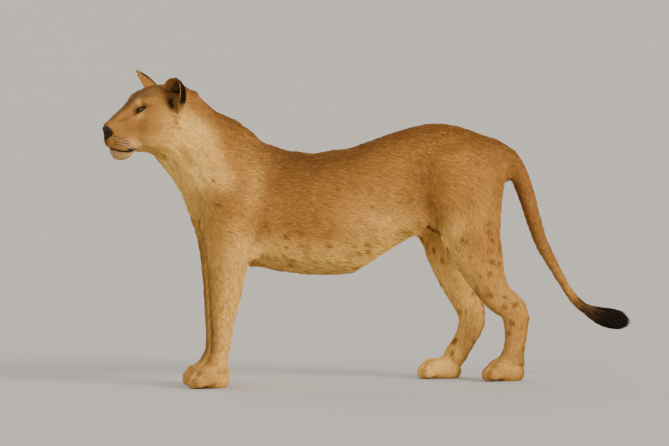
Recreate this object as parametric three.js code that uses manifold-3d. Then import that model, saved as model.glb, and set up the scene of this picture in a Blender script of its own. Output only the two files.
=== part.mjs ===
// A standing lioness, life size, as a still model: sway-backed stance, head turned a little to its left, tail out
// behind. Millimetres, +Z up, the animal faces -X and its left side faces -Y. The ground is z = 0.
//
// The whole animal is first described as one smooth form: a function that is negative inside the body and zero on
// its skin. Each named piece is then skinned by rings of rays that leave the middle of the piece and stop where the
// form ends, and is parted from its neighbours by thin flat cuts.

import * as THREE from "three";
import { mergeVertices } from "three/addons/utils/BufferGeometryUtils.js";
import Module from "manifold-3d";

const wasm = await Module();
wasm.setup();

// ---------- Driving dimensions ----------

const GAP = 0.3; // between neighbouring pieces
const MARGIN = 75; // how far a piece is skinned past its cut before the cut is made

const HEAD_AT = [-666, -14, 1014]; // between the cheeks
const HEAD_YAW = 21; // degrees, towards the animal's left
const HEAD_ROLL = 7; // degrees, left ear down
const EYE_AT = [-80, 37, 53]; // eyeball centre in the head's own frame, on its right side
const EYE_RADIUS = 18;
const EYE_AIM = [-0.72, 0.66, 0.2]; // the way the lids open
const LID = 4.5; // thickness of the lids
const EAR = { base: [38, 74, 84], tip: [20, 106, 180], halfWidth: 52, rim: 3.4, wall: 7 };
const EAR_CUP = { left: 66, right: 44 }; // depth; the right one is laid flatter
const EAR_OPENS = { left: [-0.99, 0.14, 0], right: [-0.92, 0.38, 0] };
const EAR_LEAN = { left: 0, right: 56 }; // how far the tip leans forward
const TUFT = { length: 170, locks: 31, thick: 88, coreLength: 84 };
const FORE_PAW = { x: -486, y: 100, size: 1.14, toeOut: 6, heel: 24 };
const HIND_PAW_LEFT = { x: 636, y: 108, size: 1.06, toeOut: 4, heel: 36 };
const HIND_PAW_RIGHT = { x: 412, y: 104, size: 1.06, toeOut: 4, heel: 42 };

// ---------- Small helpers for forms ----------

const clamp = (value, low, high) => Math.min(high, Math.max(low, value));
const mix = (a, b, t) => a + (b - a) * t;

// The union of two forms, rounded over a distance k where they meet.
function merge(a, b, k) {
  const h = Math.max(k - Math.abs(a - b), 0) / k;
  return Math.min(a, b) - (h * h * k) / 4;
}

// The form a with b taken away, rounded over a distance k.
const carve = (a, b, k) => -merge(-a, b, k);

// About the distance from a point to an ellipsoid with half sizes a, b, c, from its own coordinates.
function oval(u, v, w, a, b, c) {
  const k0 = Math.hypot(u / a, v / b, w / c);
  const k1 = Math.hypot(u / (a * a), v / (b * b), w / (c * c));
  return k0 < 1e-6 ? -Math.min(a, b, c) : (k0 * (k0 - 1)) / k1;
}

// An ellipsoid at a place, with half sizes along X, Y and Z and an optional tilt in degrees about Y.
function blob(at, half, tilt = 0) {
  const c = Math.cos(THREE.MathUtils.degToRad(tilt));
  const s = Math.sin(THREE.MathUtils.degToRad(tilt));
  return (x, y, z) => {
    const dx = x - at[0];
    const dz = z - at[2];
    return oval(dx * c - dz * s, y - at[1], dx * s + dz * c, ...half);
  };
}

// A chain of oval sections along a smooth line. Each section is [x, y, z, deep, wide, lean]: its centre, its half
// size in the side view and across, and how much narrower its upper or rear edge is than the other. The chain runs
// from head to tail, or downwards, so that the upper or rear edge is the one at +deep.
function chain(sections, steps = 5) {
  const line = new THREE.CatmullRomCurve3(
    sections.map((s) => new THREE.Vector3(s[0], s[1], s[2])),
  );
  const last = sections.length - 1;
  const at = (t, k) => {
    const i = Math.min(last - 1, Math.floor(t * last));
    const f = t * last - i;
    const value = (j) => sections[clamp(j, 0, last)][k] ?? 0;
    const [p0, p1, p2, p3] = [i - 1, i, i + 1, i + 2].map(value);
    const bend = 2 * p0 - 5 * p1 + 4 * p2 - p3;
    return 0.5 * (2 * p1 + (p2 - p0) * f + bend * f * f + (3 * (p1 - p2) + p3 - p0) * f ** 3);
  };
  const links = [];
  for (let i = 0; i < last * steps; i++) {
    const [t0, t1] = [i / (last * steps), (i + 1) / (last * steps)];
    const start = line.getPoint(t0);
    const along = line.getPoint(t1).sub(start);
    const length = along.length();
    along.divideScalar(length);
    const rear = new THREE.Vector3().crossVectors(along, new THREE.Vector3(0, 1, 0)).normalize();
    const side = new THREE.Vector3().crossVectors(rear, along);
    const [deep, wide, lean] = [3, 4, 5].map((k) => [at(t0, k), at(t1, k)]);
    links.push({ start, along, length, rear, side, deep, wide, lean });
  }
  const box = new THREE.Box3();
  for (const [x, y, z, deep, wide] of sections) {
    const reach = Math.max(deep, wide);
    box.expandByPoint(new THREE.Vector3(x - reach, y - reach, z - reach));
    box.expandByPoint(new THREE.Vector3(x + reach, y + reach, z + reach));
  }
  box.expandByScalar(90);
  const { min, max } = box;
  return (x, y, z) => {
    if (x < min.x || x > max.x || y < min.y || y > max.y || z < min.z || z > max.z) return 1e3;
    let best = 1e3;
    for (const { start, along, length, rear, side, deep, wide, lean } of links) {
      const [dx, dy, dz] = [x - start.x, y - start.y, z - start.z];
      const run = dx * along.x + dy * along.y + dz * along.z;
      const t = clamp(run / length, 0, 1);
      const u = dx * rear.x + dy * rear.y + dz * rear.z;
      const v = dx * side.x + dy * side.y + dz * side.z;
      const a = mix(deep[0], deep[1], t);
      const narrow = 1 - mix(lean[0], lean[1], t) * clamp(u / a, -1, 1);
      const b = mix(wide[0], wide[1], t) * narrow;
      best = Math.min(best, oval(u, v, run - t * length, a, b, 0.6 * Math.min(a, b)));
    }
    return best;
  };
}

const mirrored = (sections) => sections.map(([x, y, ...rest]) => [x, -y, ...rest]);

// ---------- The trunk, from the throat to the root of the tail ----------

const trunkSections = [
  // x, y, z, half depth, half width, lean
  [-618, -9, 1040, 112, 84, 0.05],
  [-582, -7, 1000, 132, 92, 0.08],
  [-549, -4, 962, 142, 98, 0.12],
  [-516, -1, 921, 152, 106, 0.16],
  [-439, 0, 862, 172, 120, 0.24],
  [-403, 0, 808, 187, 132, 0.28], // withers to the front of the chest
  [-371, 0, 768, 209, 142, 0.26],
  [-318, 0, 706, 230, 147, 0.22],
  [-250, 0, 680, 226, 150, 0.18],
  [-174, 0, 664, 228, 154, 0.14],
  [-65, 0, 649, 230, 158, 0.08], // lowest point of the back
  [45, 0, 656, 237, 156, 0.04],
  [142, 0, 691, 219, 146, 0.0],
  [231, 0, 735, 203, 134, 0.0],
  [303, 0, 768, 192, 124, 0.0], // waist
  [371, 0, 783, 196, 126, 0.0],
  [445, 0, 790, 192, 130, 0.04], // top of the rump
  [516, 0, 798, 169, 120, 0.08],
  [576, 0, 811, 143, 102, 0.1],
  [618, 0, 823, 113, 78, 0.1],
];
const trunk = chain(trunkSections);

// ---------- Limbs ----------

// The left foreleg, from the shoulder blade down to the wrist.
const foreSections = [
  [-302, -50, 905, 44, 26, 0],
  [-343, -84, 842, 74, 38, 0],
  [-391, -106, 752, 96, 46, 0],
  [-412, -114, 662, 100, 50, 0],
  [-410, -112, 578, 98, 52, 0],
  [-409, -108, 500, 86, 50, 0.1], // elbow
  [-417, -104, 409, 72, 45, 0.12],
  [-424, -100, 333, 60, 41, 0.1],
  [-433, -98, 257, 49, 38, 0],
  [-438, -97, 200, 41, 37, 0],
  [-441, -97, 160, 38, 38, 0], // wrist
  [-450, -98, 122, 33, 40, 0],
  [-461, -99, 82, 36, 46, 0],
];

// The hind legs, from the haunch down to the foot. The left one stands further back.
const hindLeftSections = [
  [470, -62, 850, 100, 40, 0],
  [489, -84, 756, 151, 56, 0],
  [505, -100, 650, 141, 60, 0],
  [518, -108, 562, 122, 56, 0.1],
  [548, -112, 484, 102, 48, 0.2],
  [573, -112, 414, 82, 40, 0.25],
  [600, -112, 356, 66, 34, 0.3],
  [631, -111, 312, 58, 29, 0.35],
  [669, -110, 284, 56, 29, 0.35],
  [688, -109, 250, 54, 32, 0.2], // hock
  [690, -108, 200, 47, 30, 0.1],
  [684, -108, 138, 41, 30, 0],
  [672, -108, 88, 42, 38, 0],
];
const hindRightSections = [
  [470, 62, 850, 100, 40, 0],
  [477, 84, 756, 148, 56, 0],
  [477, 100, 650, 140, 60, 0],
  [462, 108, 560, 118, 56, 0.1],
  [466, 110, 478, 92, 48, 0.2],
  [487, 110, 402, 78, 40, 0.25],
  [508, 109, 340, 66, 34, 0.3],
  [531, 107, 290, 60, 29, 0.35],
  [547, 106, 246, 56, 30, 0.3], // hock
  [541, 105, 196, 50, 31, 0.1],
  [510, 104, 136, 43, 30, 0],
  [474, 104, 86, 42, 38, 0],
];

const tailSections = [
  [599, 0, 864, 60, 46, 0],
  [653, -1, 855, 47, 40, 0],
  [692, -3, 824, 41, 37, 0],
  [725, -6, 770, 35, 34, 0],
  [747, -10, 706, 32, 31, 0],
  [771, -15, 618, 29, 28, 0],
  [799, -21, 526, 25, 25, 0],
  [838, -26, 446, 21, 21, 0],
  [878, -29, 371, 18, 18, 0],
  [914, -30, 315, 17, 16, 0],
  [945, -31, 276, 17, 16, 0],
  [972, -31, 255, 16, 15, 0],
  [1014, -31, 238, 12, 12, 0],
];

// A foot, as a form in the world: four toes with knuckles, a broad middle and a heel pad, flat underneath.
function foot({ x, y, size, toeOut, heel }, side) {
  const turn = THREE.MathUtils.degToRad(toeOut) * -side;
  const [c, s] = [Math.cos(turn), Math.sin(turn)];
  const middle = [blob([4, 0, 40], [48, 45, 42]), blob([heel, 0, 24], [40, 39, 32])];
  const toes = [];
  for (const [tx, ty, spread] of [
    [-8, 16, 1],
    [10, 41, 0.9],
  ])
    for (const hand of [-1, 1]) {
      const half = 17.5 * spread;
      toes.push([
        blob([tx - 24, ty * hand * 0.94, 40], [26, half, 27]),
        blob([tx - 44, ty * hand, 24], [22, half * 0.92, 26]),
      ]);
    }
  return (px, py, pz) => {
    const [dx, dy] = [(px - x) / size, (py - y * side) / size];
    const [lx, ly, lz] = [dx * c + dy * s, dy * c - dx * s, pz / size];
    if (Math.abs(lx) > 170 || Math.abs(ly) > 150 || lz > 170) return 1e3;
    let form = merge(middle[0](lx, ly, lz), middle[1](lx, ly, lz), 16);
    let spread = 1e3;
    for (const [knuckle, tip] of toes)
      spread = merge(spread, merge(knuckle(lx, ly, lz), tip(lx, ly, lz), 8), 3.5);
    form = merge(form, spread, 9);
    return form * size;
  };
}

// ---------- The head, in its own frame: x backwards, z up, the nose at x = -218 ----------

const headSections = [
  // x, y, z, half height, half width, lean
  [-196, 0, -34, 24, 24, 0.0],
  [-179, 0, -46, 48, 38, 0.1],
  [-162, 0, -48, 62, 45, 0.2],
  [-140, 0, -44, 72, 49, 0.25],
  [-118, 0, -36, 78, 56, 0.22],
  [-96, 0, -22, 86, 67, 0.12],
  [-72, 0, -6, 95, 79, 0.06],
  [-44, 0, 7, 110, 90, 0.04],
  [-8, 0, 16, 122, 97, 0.04],
  [28, 0, 15, 124, 98, 0.06],
  [70, 0, 8, 128, 94, 0.08],
  [112, 0, 2, 126, 88, 0.05],
];
const skull = chain(headSections);
const headParts = [
  // form, rounding
  [blob([-162, 0, 14], [66, 27, 22], -37), 16], // bridge of the nose
  [blob([-203, 0, -18], [16, 28, 22]), 10], // nose
  [blob([-150, 25, -66], [38, 29, 34]), 12], // whisker pad
  [blob([-132, 40, -78], [46, 19, 26]), 16], // hanging upper lip
  [blob([-146, 0, -108], [40, 33, 32]), 18], // chin
  [blob([-74, 40, 82], [38, 28, 19], -34), 18], // brow
  [blob([-26, 83, 4], [64, 25, 28], -6), 26], // cheekbone
  [blob([-14, 70, -42], [76, 38, 60]), 28], // cheek
  [blob([-36, 0, -70], [76, 58, 44]), 26], // lower jaw
  [blob([52, 76, -26], [60, 34, 84]), 34], // short ruff behind the cheek
];
const eyeHollow = blob([-110, 64, 38], [27, 20, 19], -35);

function headForm(x, y, z) {
  const side = Math.abs(y);
  let form = skull(x, side, z);
  if (form > 200) return form;
  for (const [part, k] of headParts) form = merge(form, part(x, side, z), k);
  form = carve(form, eyeHollow(x, side, z), 26);
  return form;
}

const headMatrix = new THREE.Matrix4()
  .makeTranslation(...HEAD_AT)
  .multiply(new THREE.Matrix4().makeRotationZ(THREE.MathUtils.degToRad(HEAD_YAW)))
  .multiply(new THREE.Matrix4().makeRotationX(THREE.MathUtils.degToRad(HEAD_ROLL)));
const toHead = headMatrix.clone().invert().elements;

function headInWorld(x, y, z) {
  const e = toHead;
  return headForm(
    e[0] * x + e[4] * y + e[8] * z + e[12],
    e[1] * x + e[5] * y + e[9] * z + e[13],
    e[2] * x + e[6] * y + e[10] * z + e[14],
  );
}

// ---------- The whole body ----------

const limbs = {
  foreLeft: chain(foreSections),
  foreRight: chain(mirrored(foreSections)),
  hindLeft: chain(hindLeftSections),
  hindRight: chain(hindRightSections),
};
const feet = {
  foreLeft: foot(FORE_PAW, -1),
  foreRight: foot(FORE_PAW, 1),
  hindLeft: foot(HIND_PAW_LEFT, -1),
  hindRight: foot(HIND_PAW_RIGHT, 1),
};
const tail = chain(tailSections);
const flankFolds = [
  chain([
    [260, -96, 600, 40, 26, 0],
    [340, -104, 594, 34, 20, 0],
    [410, -110, 582, 34, 24, 0],
  ]),
  chain([
    [250, 96, 600, 40, 26, 0],
    [320, 104, 594, 34, 20, 0],
    [380, 110, 582, 34, 24, 0],
  ]),
];

function body(x, y, z) {
  let form = trunk(x, y, z);
  for (const fold of flankFolds) form = merge(form, fold(x, y, z), 40);
  form = merge(form, headInWorld(x, y, z), 40);
  for (const name of Object.keys(limbs)) {
    const limb = merge(limbs[name](x, y, z), feet[name](x, y, z), 14);
    form = merge(form, limb, z > 620 ? 60 : clamp(20 + (z - 420) * 0.2, 20, 60));
  }
  return merge(form, tail(x, y, z), 22);
}

// ---------- Skins ----------

// A closed skin over rows of points, each row a ring, with the first and last row drawn in to one point.
function skin(rows, startPole, endPole) {
  const [count, sides] = [rows.length, rows[0].length];
  const places = [...rows.flat(), startPole, endPole];
  const [start, end] = [count * sides, count * sides + 1];
  const faces = [];
  for (let j = 0; j < sides; j++) {
    const next = (j + 1) % sides;
    faces.push(start, next, j);
    faces.push(end, (count - 1) * sides + j, (count - 1) * sides + next);
    for (let i = 0; i < count - 1; i++) {
      const [a, b] = [i * sides + j, i * sides + next];
      const [c, d] = [a + sides, b + sides];
      const alongAD = places[a].distanceTo(places[d]) < places[b].distanceTo(places[c]);
      faces.push(...(alongAD ? [a, b, d, a, d, c] : [a, b, c, b, d, c]));
    }
  }
  const geometry = new THREE.BufferGeometry().setFromPoints(places);
  geometry.setIndex(faces);
  return geometry;
}

const vector = (p) => new THREE.Vector3(...p);
const smoothLine = (points) => new THREE.CatmullRomCurve3(points.map(vector));

// The place where a ray leaves the form.
function leave(form, origin, direction, reach = 420, step = 5) {
  const inside = (r) =>
    form(origin.x + direction.x * r, origin.y + direction.y * r, origin.z + direction.z * r) < 0;
  let low = 0;
  while (low < reach && inside(low + step)) low += step;
  let high = low + step;
  for (let i = 0; i < 11; i++) {
    const half = (low + high) / 2;
    if (inside(half)) low = half;
    else high = half;
  }
  return origin.clone().addScaledVector(direction, low);
}

// A skin of rings round a line through the given points. Each ring's rays lie across the line and stop where the
// form ends; beyond both ends of the line the rays fan out until they point along it.
function wrap(points, form, { rings, sides, fan = [2, 2], pace = (t) => t }) {
  const line = smoothLine(points);
  const frames = [];
  const frame = (t, tilt) => {
    const before = line.getPointAt(Math.max(0, t - 0.05));
    const along = line.getPointAt(Math.min(1, t + 0.05)).sub(before).normalize();
    const rear = new THREE.Vector3().crossVectors(along, new THREE.Vector3(0, 1, 0)).normalize();
    const side = new THREE.Vector3().crossVectors(rear, along);
    frames.push({ origin: line.getPointAt(t), along, rear, side, tilt });
  };
  for (let i = 1; i <= fan[0]; i++) frame(0, -(Math.PI / 2) * (1 - i / (fan[0] + 1)));
  for (let i = 0; i < rings; i++) frame(pace(i / (rings - 1)), 0);
  for (let i = 1; i <= fan[1]; i++) frame(1, ((Math.PI / 2) * i) / (fan[1] + 1));

  const rows = frames.map(({ origin, along, rear, side, tilt }) =>
    Array.from({ length: sides }, (_, j) => {
      const angle = (2 * Math.PI * (j + 0.5)) / sides;
      const out = new THREE.Vector3()
        .addScaledVector(side, Math.cos(angle) * Math.cos(tilt))
        .addScaledVector(rear, Math.sin(angle) * Math.cos(tilt))
        .addScaledVector(along, Math.sin(tilt));
      return leave(form, origin, out);
    }),
  );
  const [first, last] = [frames[0], frames[frames.length - 1]];
  const startPole = leave(form, first.origin, first.along.clone().negate());
  return skin(rows, startPole, leave(form, last.origin, last.along));
}

// ---------- Solids ----------

function solid(geometry) {
  const bare = new THREE.BufferGeometry().setAttribute("position", geometry.getAttribute("position"));
  if (geometry.index) bare.setIndex(geometry.index);
  const closed = mergeVertices(bare, 1e-3);
  const triVerts = new Uint32Array(closed.index.array);
  const vertProperties = closed.getAttribute("position").array;
  const mesh = () => new wasm.Mesh({ numProp: 3, vertProperties, triVerts });
  const made = new wasm.Manifold(mesh());
  if (made.volume() >= 0) return made;
  for (let i = 0; i < triVerts.length; i += 3) triVerts.subarray(i, i + 2).reverse();
  return new wasm.Manifold(mesh());
}

// The largest closed surface of a solid.
const largest = (made) => made.decompose().sort((a, b) => b.volume() - a.volume())[0];

// ---------- Cuts ----------

// A flat cut across the side view, through two points [x, z]. It is positive to the right of the way from the
// first point to the second, seen from the left side of the animal with z up.
function cutLine([x0, z0], [x1, z1]) {
  const normal = new THREE.Vector3(z1 - z0, 0, x0 - x1).normalize();
  return new THREE.Plane(normal, -(normal.x * x0 + normal.z * z0));
}

const flipped = (plane) => plane.clone().negate();

// The part of a solid where the plane is negative, half a gap short of it.
function cut(made, plane) {
  const size = 3000;
  const block = new THREE.BoxGeometry(size, size, size).translate(0, 0, size / 2 - GAP / 2);
  block.applyQuaternion(new THREE.Quaternion().setFromUnitVectors(new THREE.Vector3(0, 0, 1), plane.normal));
  const onPlane = plane.coplanarPoint(new THREE.Vector3());
  return made.subtract(solid(block.translate(onPlane.x, onPlane.y, onPlane.z)));
}

const throatCut = cutLine([-531, 1134], [-660, 902]); // neck -, head +
const collarCut = cutLine([-325, 989], [-565, 744]); // trunk -, neck +
const shoulderCut = cutLine([-319, 460], [-550, 671]); // forelegs -, trunk +
const haunchCut = cutLine([325, 578], [655, 771]); // trunk -, hind legs +
const tailCut = cutLine([657, 770], [705, 880]); // trunk -, tail +
const buttockCut = cutLine([757, 290], [658, 773]); // hind legs -, tail +
const tuftCut = cutLine([956, 242], [981, 278]); // tail -, tuft +
const midline = new THREE.Plane(new THREE.Vector3(0, 1, 0), 0); // left -, right +
const ankleCut = new THREE.Plane(new THREE.Vector3(0, 0, 1), -70); // feet -, legs +
const ground = new THREE.Plane(new THREE.Vector3(0, 0, -1), 0); // what is under the soles is +

// A piece of a form: the part where all the planes are negative.
function piece(points, planes, options, form = body) {
  const margin = options.margin ?? MARGIN;
  const kept = (x, y, z) => {
    let value = form(x, y, z);
    for (const { normal, constant } of planes)
      value = Math.max(value, normal.x * x + normal.y * y + normal.z * z + constant - margin);
    return value;
  };
  let made = solid(wrap(points, kept, options));
  for (const plane of planes) made = cut(made, plane);
  return largest(made);
}

// ---------- Nodes ----------

const animal = new THREE.Group();

function add(name, made, material) {
  const { vertProperties, triVerts } = made.getMesh();
  const geometry = new THREE.BufferGeometry();
  geometry.setAttribute("position", new THREE.BufferAttribute(new Float32Array(vertProperties), 3));
  geometry.setIndex(new THREE.BufferAttribute(new Uint32Array(triVerts), 1));
  geometry.computeVertexNormals();
  const mesh = new THREE.Mesh(geometry, material);
  mesh.name = name;
  animal.add(mesh);
}

const paint = (color, roughness) => new THREE.MeshStandardMaterial({ color, roughness, metalness: 0 });
const fur = () => paint(0xb98a55, 0.9);
const paleFur = () => paint(0xd2ae7c, 0.9);
const darkHair = () => paint(0x1d1410, 0.85);
const noseSkin = () => paint(0x2b1d18, 0.5);
const amber = () => paint(0x8a5a1c, 0.15);

// ---------- Trunk, neck and tail ----------

const middles = (sections) => sections.map(([x, y, z]) => [x, y, z]);

add(
  "torso",
  piece(
    [
      [-423, 0, 716],
      [-288, 0, 678],
      [-69, 0, 652],
      [72, 0, 664],
      [223, 0, 716],
      [414, 0, 788],
      [599, 0, 816],
    ],
    [collarCut, flipped(shoulderCut), haunchCut, tailCut],
    { rings: 24, sides: 34, fan: [5, 3] },
  ),
  fur(),
);

add(
  "neck",
  piece(
    [
      [-421, 0, 852],
      [-504, -2, 920],
      [-555, -5, 972],
      [-614, -8, 1030],
    ],
    [flipped(collarCut), throatCut],
    { rings: 6, sides: 30, fan: [2, 2] },
  ),
  fur(),
);

const tailLine = [[650, -1, 826], ...middles(tailSections.slice(2, 11)), [974, -31, 256]];
const tailSkin = { rings: 30, sides: 13, fan: [2, 2], margin: 24, pace: (t) => t ** 1.35 };
add("tail", piece(tailLine, [flipped(tailCut), flipped(buttockCut), tuftCut], tailSkin), fur());

// The tuft: a core over the end of the tail, and flat locks that grow backwards from it.
const tuftLine = smoothLine([
  [967, -31, 261],
  [1015, -31, 237],
  [1063, -30, 222],
  [1098, -29, 213],
  [1136, -28, 202],
]);

// The tuft's outer radius along its line: narrow at the tail, full at the middle and blunt at the end.
const tuftRadius = (t) => (TUFT.thick / 2) * Math.sqrt(Math.sin(Math.PI * (0.11 + 0.88 * t) ** 1.25));

// A lock: a flat tapered strip whose middle line is a curve, thin across "flat" and closed to a point.
function lock(curve, flat, width, thick) {
  const rows = [];
  const steps = 3;
  for (let i = 0; i < steps; i++) {
    const t = i / steps;
    const along = curve.getTangent(t);
    const normal = flat.clone().addScaledVector(along, -flat.dot(along)).normalize();
    const across = new THREE.Vector3().crossVectors(along, normal);
    const [w, h] = [(width / 2) * (1 - 0.75 * t * t), (thick / 2) * (1 - 0.7 * t)];
    const at = curve.getPoint(t);
    rows.push([
      at.clone().addScaledVector(across, w),
      at.clone().addScaledVector(normal, h),
      at.clone().addScaledVector(across, -w),
      at.clone().addScaledVector(normal, -h),
    ]);
  }
  return solid(skin(rows, curve.getPoint(0), curve.getPoint(1)));
}

// A repeatable draw between 0 and 1.
function seeded(seed) {
  let state = seed;
  return () => {
    state = (state * 1664525 + 1013904223) % 4294967296;
    return state / 4294967296;
  };
}

function tailTuft() {
  const draw = seeded(11);
  const tuftFrame = (t) => {
    const along = tuftLine.getTangentAt(t);
    const across = new THREE.Vector3(0, 1, 0).addScaledVector(along, -along.y).normalize();
    return { at: tuftLine.getPointAt(t), along, across, up: new THREE.Vector3().crossVectors(along, across) };
  };
  const coreEnd = TUFT.coreLength / TUFT.length;
  const ring = (t, radius) => {
    const { at, across, up } = tuftFrame(t);
    return Array.from({ length: 12 }, (_, j) => {
      const angle = (2 * Math.PI * j) / 12;
      const [c, s] = [Math.cos(angle) * radius, Math.sin(angle) * radius];
      return at.clone().addScaledVector(across, c).addScaledVector(up, s);
    });
  };
  const core = [];
  const coreRows = 5;
  for (let i = 0; i < coreRows; i++) {
    const t = i / (coreRows - 1);
    core.push(ring(t * coreEnd * 0.9, 0.72 * tuftRadius(t * coreEnd) * (1 - 0.4 * t ** 3)));
  }
  let made = solid(skin(core, tuftLine.getPointAt(0), tuftLine.getPointAt(coreEnd)));
  const locks = [];
  for (let i = 0; i < TUFT.locks; i++) {
    const t = mix(0.04, coreEnd * 0.86, (i + 0.5) / TUFT.locks);
    const angle = i * 2.39996 + draw() * 0.4; // spread like seeds on a cone
    const { at, along, across, up } = tuftFrame(t);
    const out = across.multiplyScalar(Math.cos(angle)).addScaledVector(up, Math.sin(angle));
    const end = Math.min(1, t + mix(0.46, 0.66, draw()));
    const half = mix(t, end, 0.5);
    const spread = i % 3 === 1 ? 0.45 : 1; // every third lock closes the middle
    const bulge = spread * tuftRadius(half) * mix(1.1, 1.3, draw());
    const middle = tuftLine.getPointAt(half).addScaledVector(out, bulge);
    const tip = tuftLine.getPointAt(end).addScaledVector(out, spread * tuftRadius(end) * mix(0.5, 1, draw()));
    tip.addScaledVector(along, 4 * draw());
    const root = at.addScaledVector(out, 0.25 * tuftRadius(t));
    const curve = new THREE.QuadraticBezierCurve3(root, middle, tip);
    locks.push(lock(curve, out, mix(26, 36, draw()), mix(8, 11, draw())));
  }
  for (const one of locks) made = made.add(one);
  return largest(cut(made, flipped(tuftCut)));
}
add("tail_tuft", tailTuft(), darkHair());

// ---------- Legs and feet ----------

const lift = (side, points) => points.map(([x, y, z]) => [x, y * side, z]);

const foreLine = [
  [-460, 62, 548],
  [-441, 78, 490],
  [-425, 96, 424],
  [-428, 99, 333],
  [-437, 97, 220],
  [-442, 97, 150],
  [-455, 99, 84],
];
const hindLeftLine = [
  [520, 56, 684],
  [537, 84, 610],
  [570, 112, 440],
  [600, 112, 362],
  [645, 111, 306],
  [684, 109, 250],
  [689, 108, 190],
  [682, 108, 130],
  [669, 108, 84],
];
const hindRightLine = [
  [512, 56, 680],
  [480, 96, 580],
  [478, 110, 440],
  [506, 109, 350],
  [537, 107, 276],
  [544, 106, 220],
  [523, 104, 160],
  [467, 104, 84],
];
for (const [hand, side, half, hindLine] of [
  ["left", -1, midline, hindLeftLine],
  ["right", 1, flipped(midline), hindRightLine],
]) {
  const legSkin = { rings: 14, sides: 19, fan: [3, 2] };
  const foreCuts = [shoulderCut, half, flipped(ankleCut)];
  add(`foreleg_${hand}`, piece(lift(side, foreLine), foreCuts, legSkin), fur());
  const hindCuts = [flipped(haunchCut), buttockCut, half, flipped(ankleCut)];
  add(`hindleg_${hand}`, piece(lift(side, hindLine), hindCuts, { ...legSkin, rings: 18 }), fur());
  for (const [name, paw] of [
    ["forepaw", FORE_PAW],
    ["hindpaw", hand === "left" ? HIND_PAW_LEFT : HIND_PAW_RIGHT],
  ]) {
    const line = lift(side, [
      [paw.x + (paw.heel + 14) * paw.size, paw.y, 38],
      [paw.x - 46 * paw.size, paw.y + 3, 26],
    ]);
    add(`${name}_${hand}`, piece(line, [ankleCut, ground], { rings: 9, sides: 21, fan: [3, 3] }), fur());
  }
}

// ---------- Head ----------

// The head is worked on in its own frame and then set in place.
const toWorld = headMatrix.elements;
function bodyFromHead(x, y, z) {
  const e = toWorld;
  return body(
    e[0] * x + e[4] * y + e[8] * z + e[12],
    e[1] * x + e[5] * y + e[9] * z + e[13],
    e[2] * x + e[6] * y + e[10] * z + e[14],
  );
}
const throatInHead = throatCut.clone().applyMatrix4(headMatrix.clone().invert());
const headLine = [
  [92, 0, 0],
  [30, 0, 8],
  [-40, 0, 10],
  [-90, 0, -8],
  [-140, 0, -44],
  [-176, 0, -56],
];
const headSkin = { rings: 24, sides: 40, fan: [2, 5] };
const headSolid = piece(headLine, [flipped(throatInHead)], headSkin, bodyFromHead);
const grownForm = (x, y, z) => bodyFromHead(x, y, z) - GAP;
const grownHead = piece(headLine, [flipped(throatInHead)], headSkin, grownForm);

// A straight-sided block with an outline of [x, z] points, standing across the head.
function acrossHead(outline, halfWidth) {
  const shape = new THREE.Shape(outline.map(([x, z]) => new THREE.Vector2(x, z)));
  const block = new THREE.ExtrudeGeometry(shape, { depth: 2 * halfWidth, bevelEnabled: false });
  return solid(block.rotateX(Math.PI / 2).translate(0, halfWidth, 0));
}

// The line of the mouth, from the front of the lips to the corner, as [x, z].
const lips = [
  [-214, -90],
  [-188, -97],
  [-160, -103],
  [-132, -105],
  [-110, -99],
  [-95, -90],
];
const lipHeight = (x) => {
  const i = clamp(lips.findIndex((p) => p[0] > x) - 1, 0, lips.length - 2);
  const [[x0, z0], [x1, z1]] = [lips[i], lips[i + 1]];
  return mix(z0, z1, clamp((x - x0) / (x1 - x0), 0, 1));
};
const jawOutline = (inset) => [
  ...lips.map(([x, z]) => [x, z - inset]),
  [-84 - inset, -106],
  [-66 - inset, -190],
  [-230, -190],
];

// The lower lip sits a little inside the upper one.
const LIP_STEP = 4;
const jawForm = (x, y, z) => bodyFromHead(x, y, z) + LIP_STEP * clamp(1 - (lipHeight(x) - z) / 16, 0, 1);
const jawLine = [
  [-88, 0, -116],
  [-120, 0, -119],
  [-158, 0, -116],
];
const lowerJaw = solid(wrap(jawLine, jawForm, { rings: 10, sides: 20, fan: [3, 3] })).intersect(
  acrossHead(jawOutline(GAP), 120),
);

// The nose: a shield outline of [y, z] points, widest at the nostrils.
function noseBlock(inset) {
  const shape = new THREE.Shape();
  const w = 29 - inset;
  shape.moveTo(0, -12 - inset);
  shape.quadraticCurveTo(w * 0.8, -10 - inset, w, -26);
  shape.quadraticCurveTo(w, -42 + inset, w * 0.45, -50 + inset);
  shape.quadraticCurveTo(5 - inset, -56 + inset, 3.4 - inset, -64 + inset);
  shape.lineTo(-3.4 + inset, -64 + inset);
  shape.quadraticCurveTo(-5 + inset, -56 + inset, -w * 0.45, -50 + inset);
  shape.quadraticCurveTo(-w, -42 + inset, -w, -26);
  shape.quadraticCurveTo(-w * 0.8, -10 - inset, 0, -12 - inset);
  const block = new THREE.ExtrudeGeometry(shape, { depth: 60, bevelEnabled: false, curveSegments: 4 });
  block.applyMatrix4(new THREE.Matrix4().makeBasis(
    new THREE.Vector3(0, 1, 0),
    new THREE.Vector3(0, 0, 1),
    new THREE.Vector3(1, 0, 0),
  ));
  return solid(block.translate(-256 - inset, 0, 0));
}

const nostril = (side) => {
  const opening = new THREE.SphereGeometry(1, 9, 5).scale(16, 6, 7.5).rotateZ(0.5 * side);
  const slot = new THREE.SphereGeometry(1, 8, 5).scale(8, 11, 2.6).rotateX(0.25 * side);
  opening.translate(-214, 12 * side, -36);
  slot.translate(-208, 22 * side, -33);
  return solid(opening).add(solid(slot));
};

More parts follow.
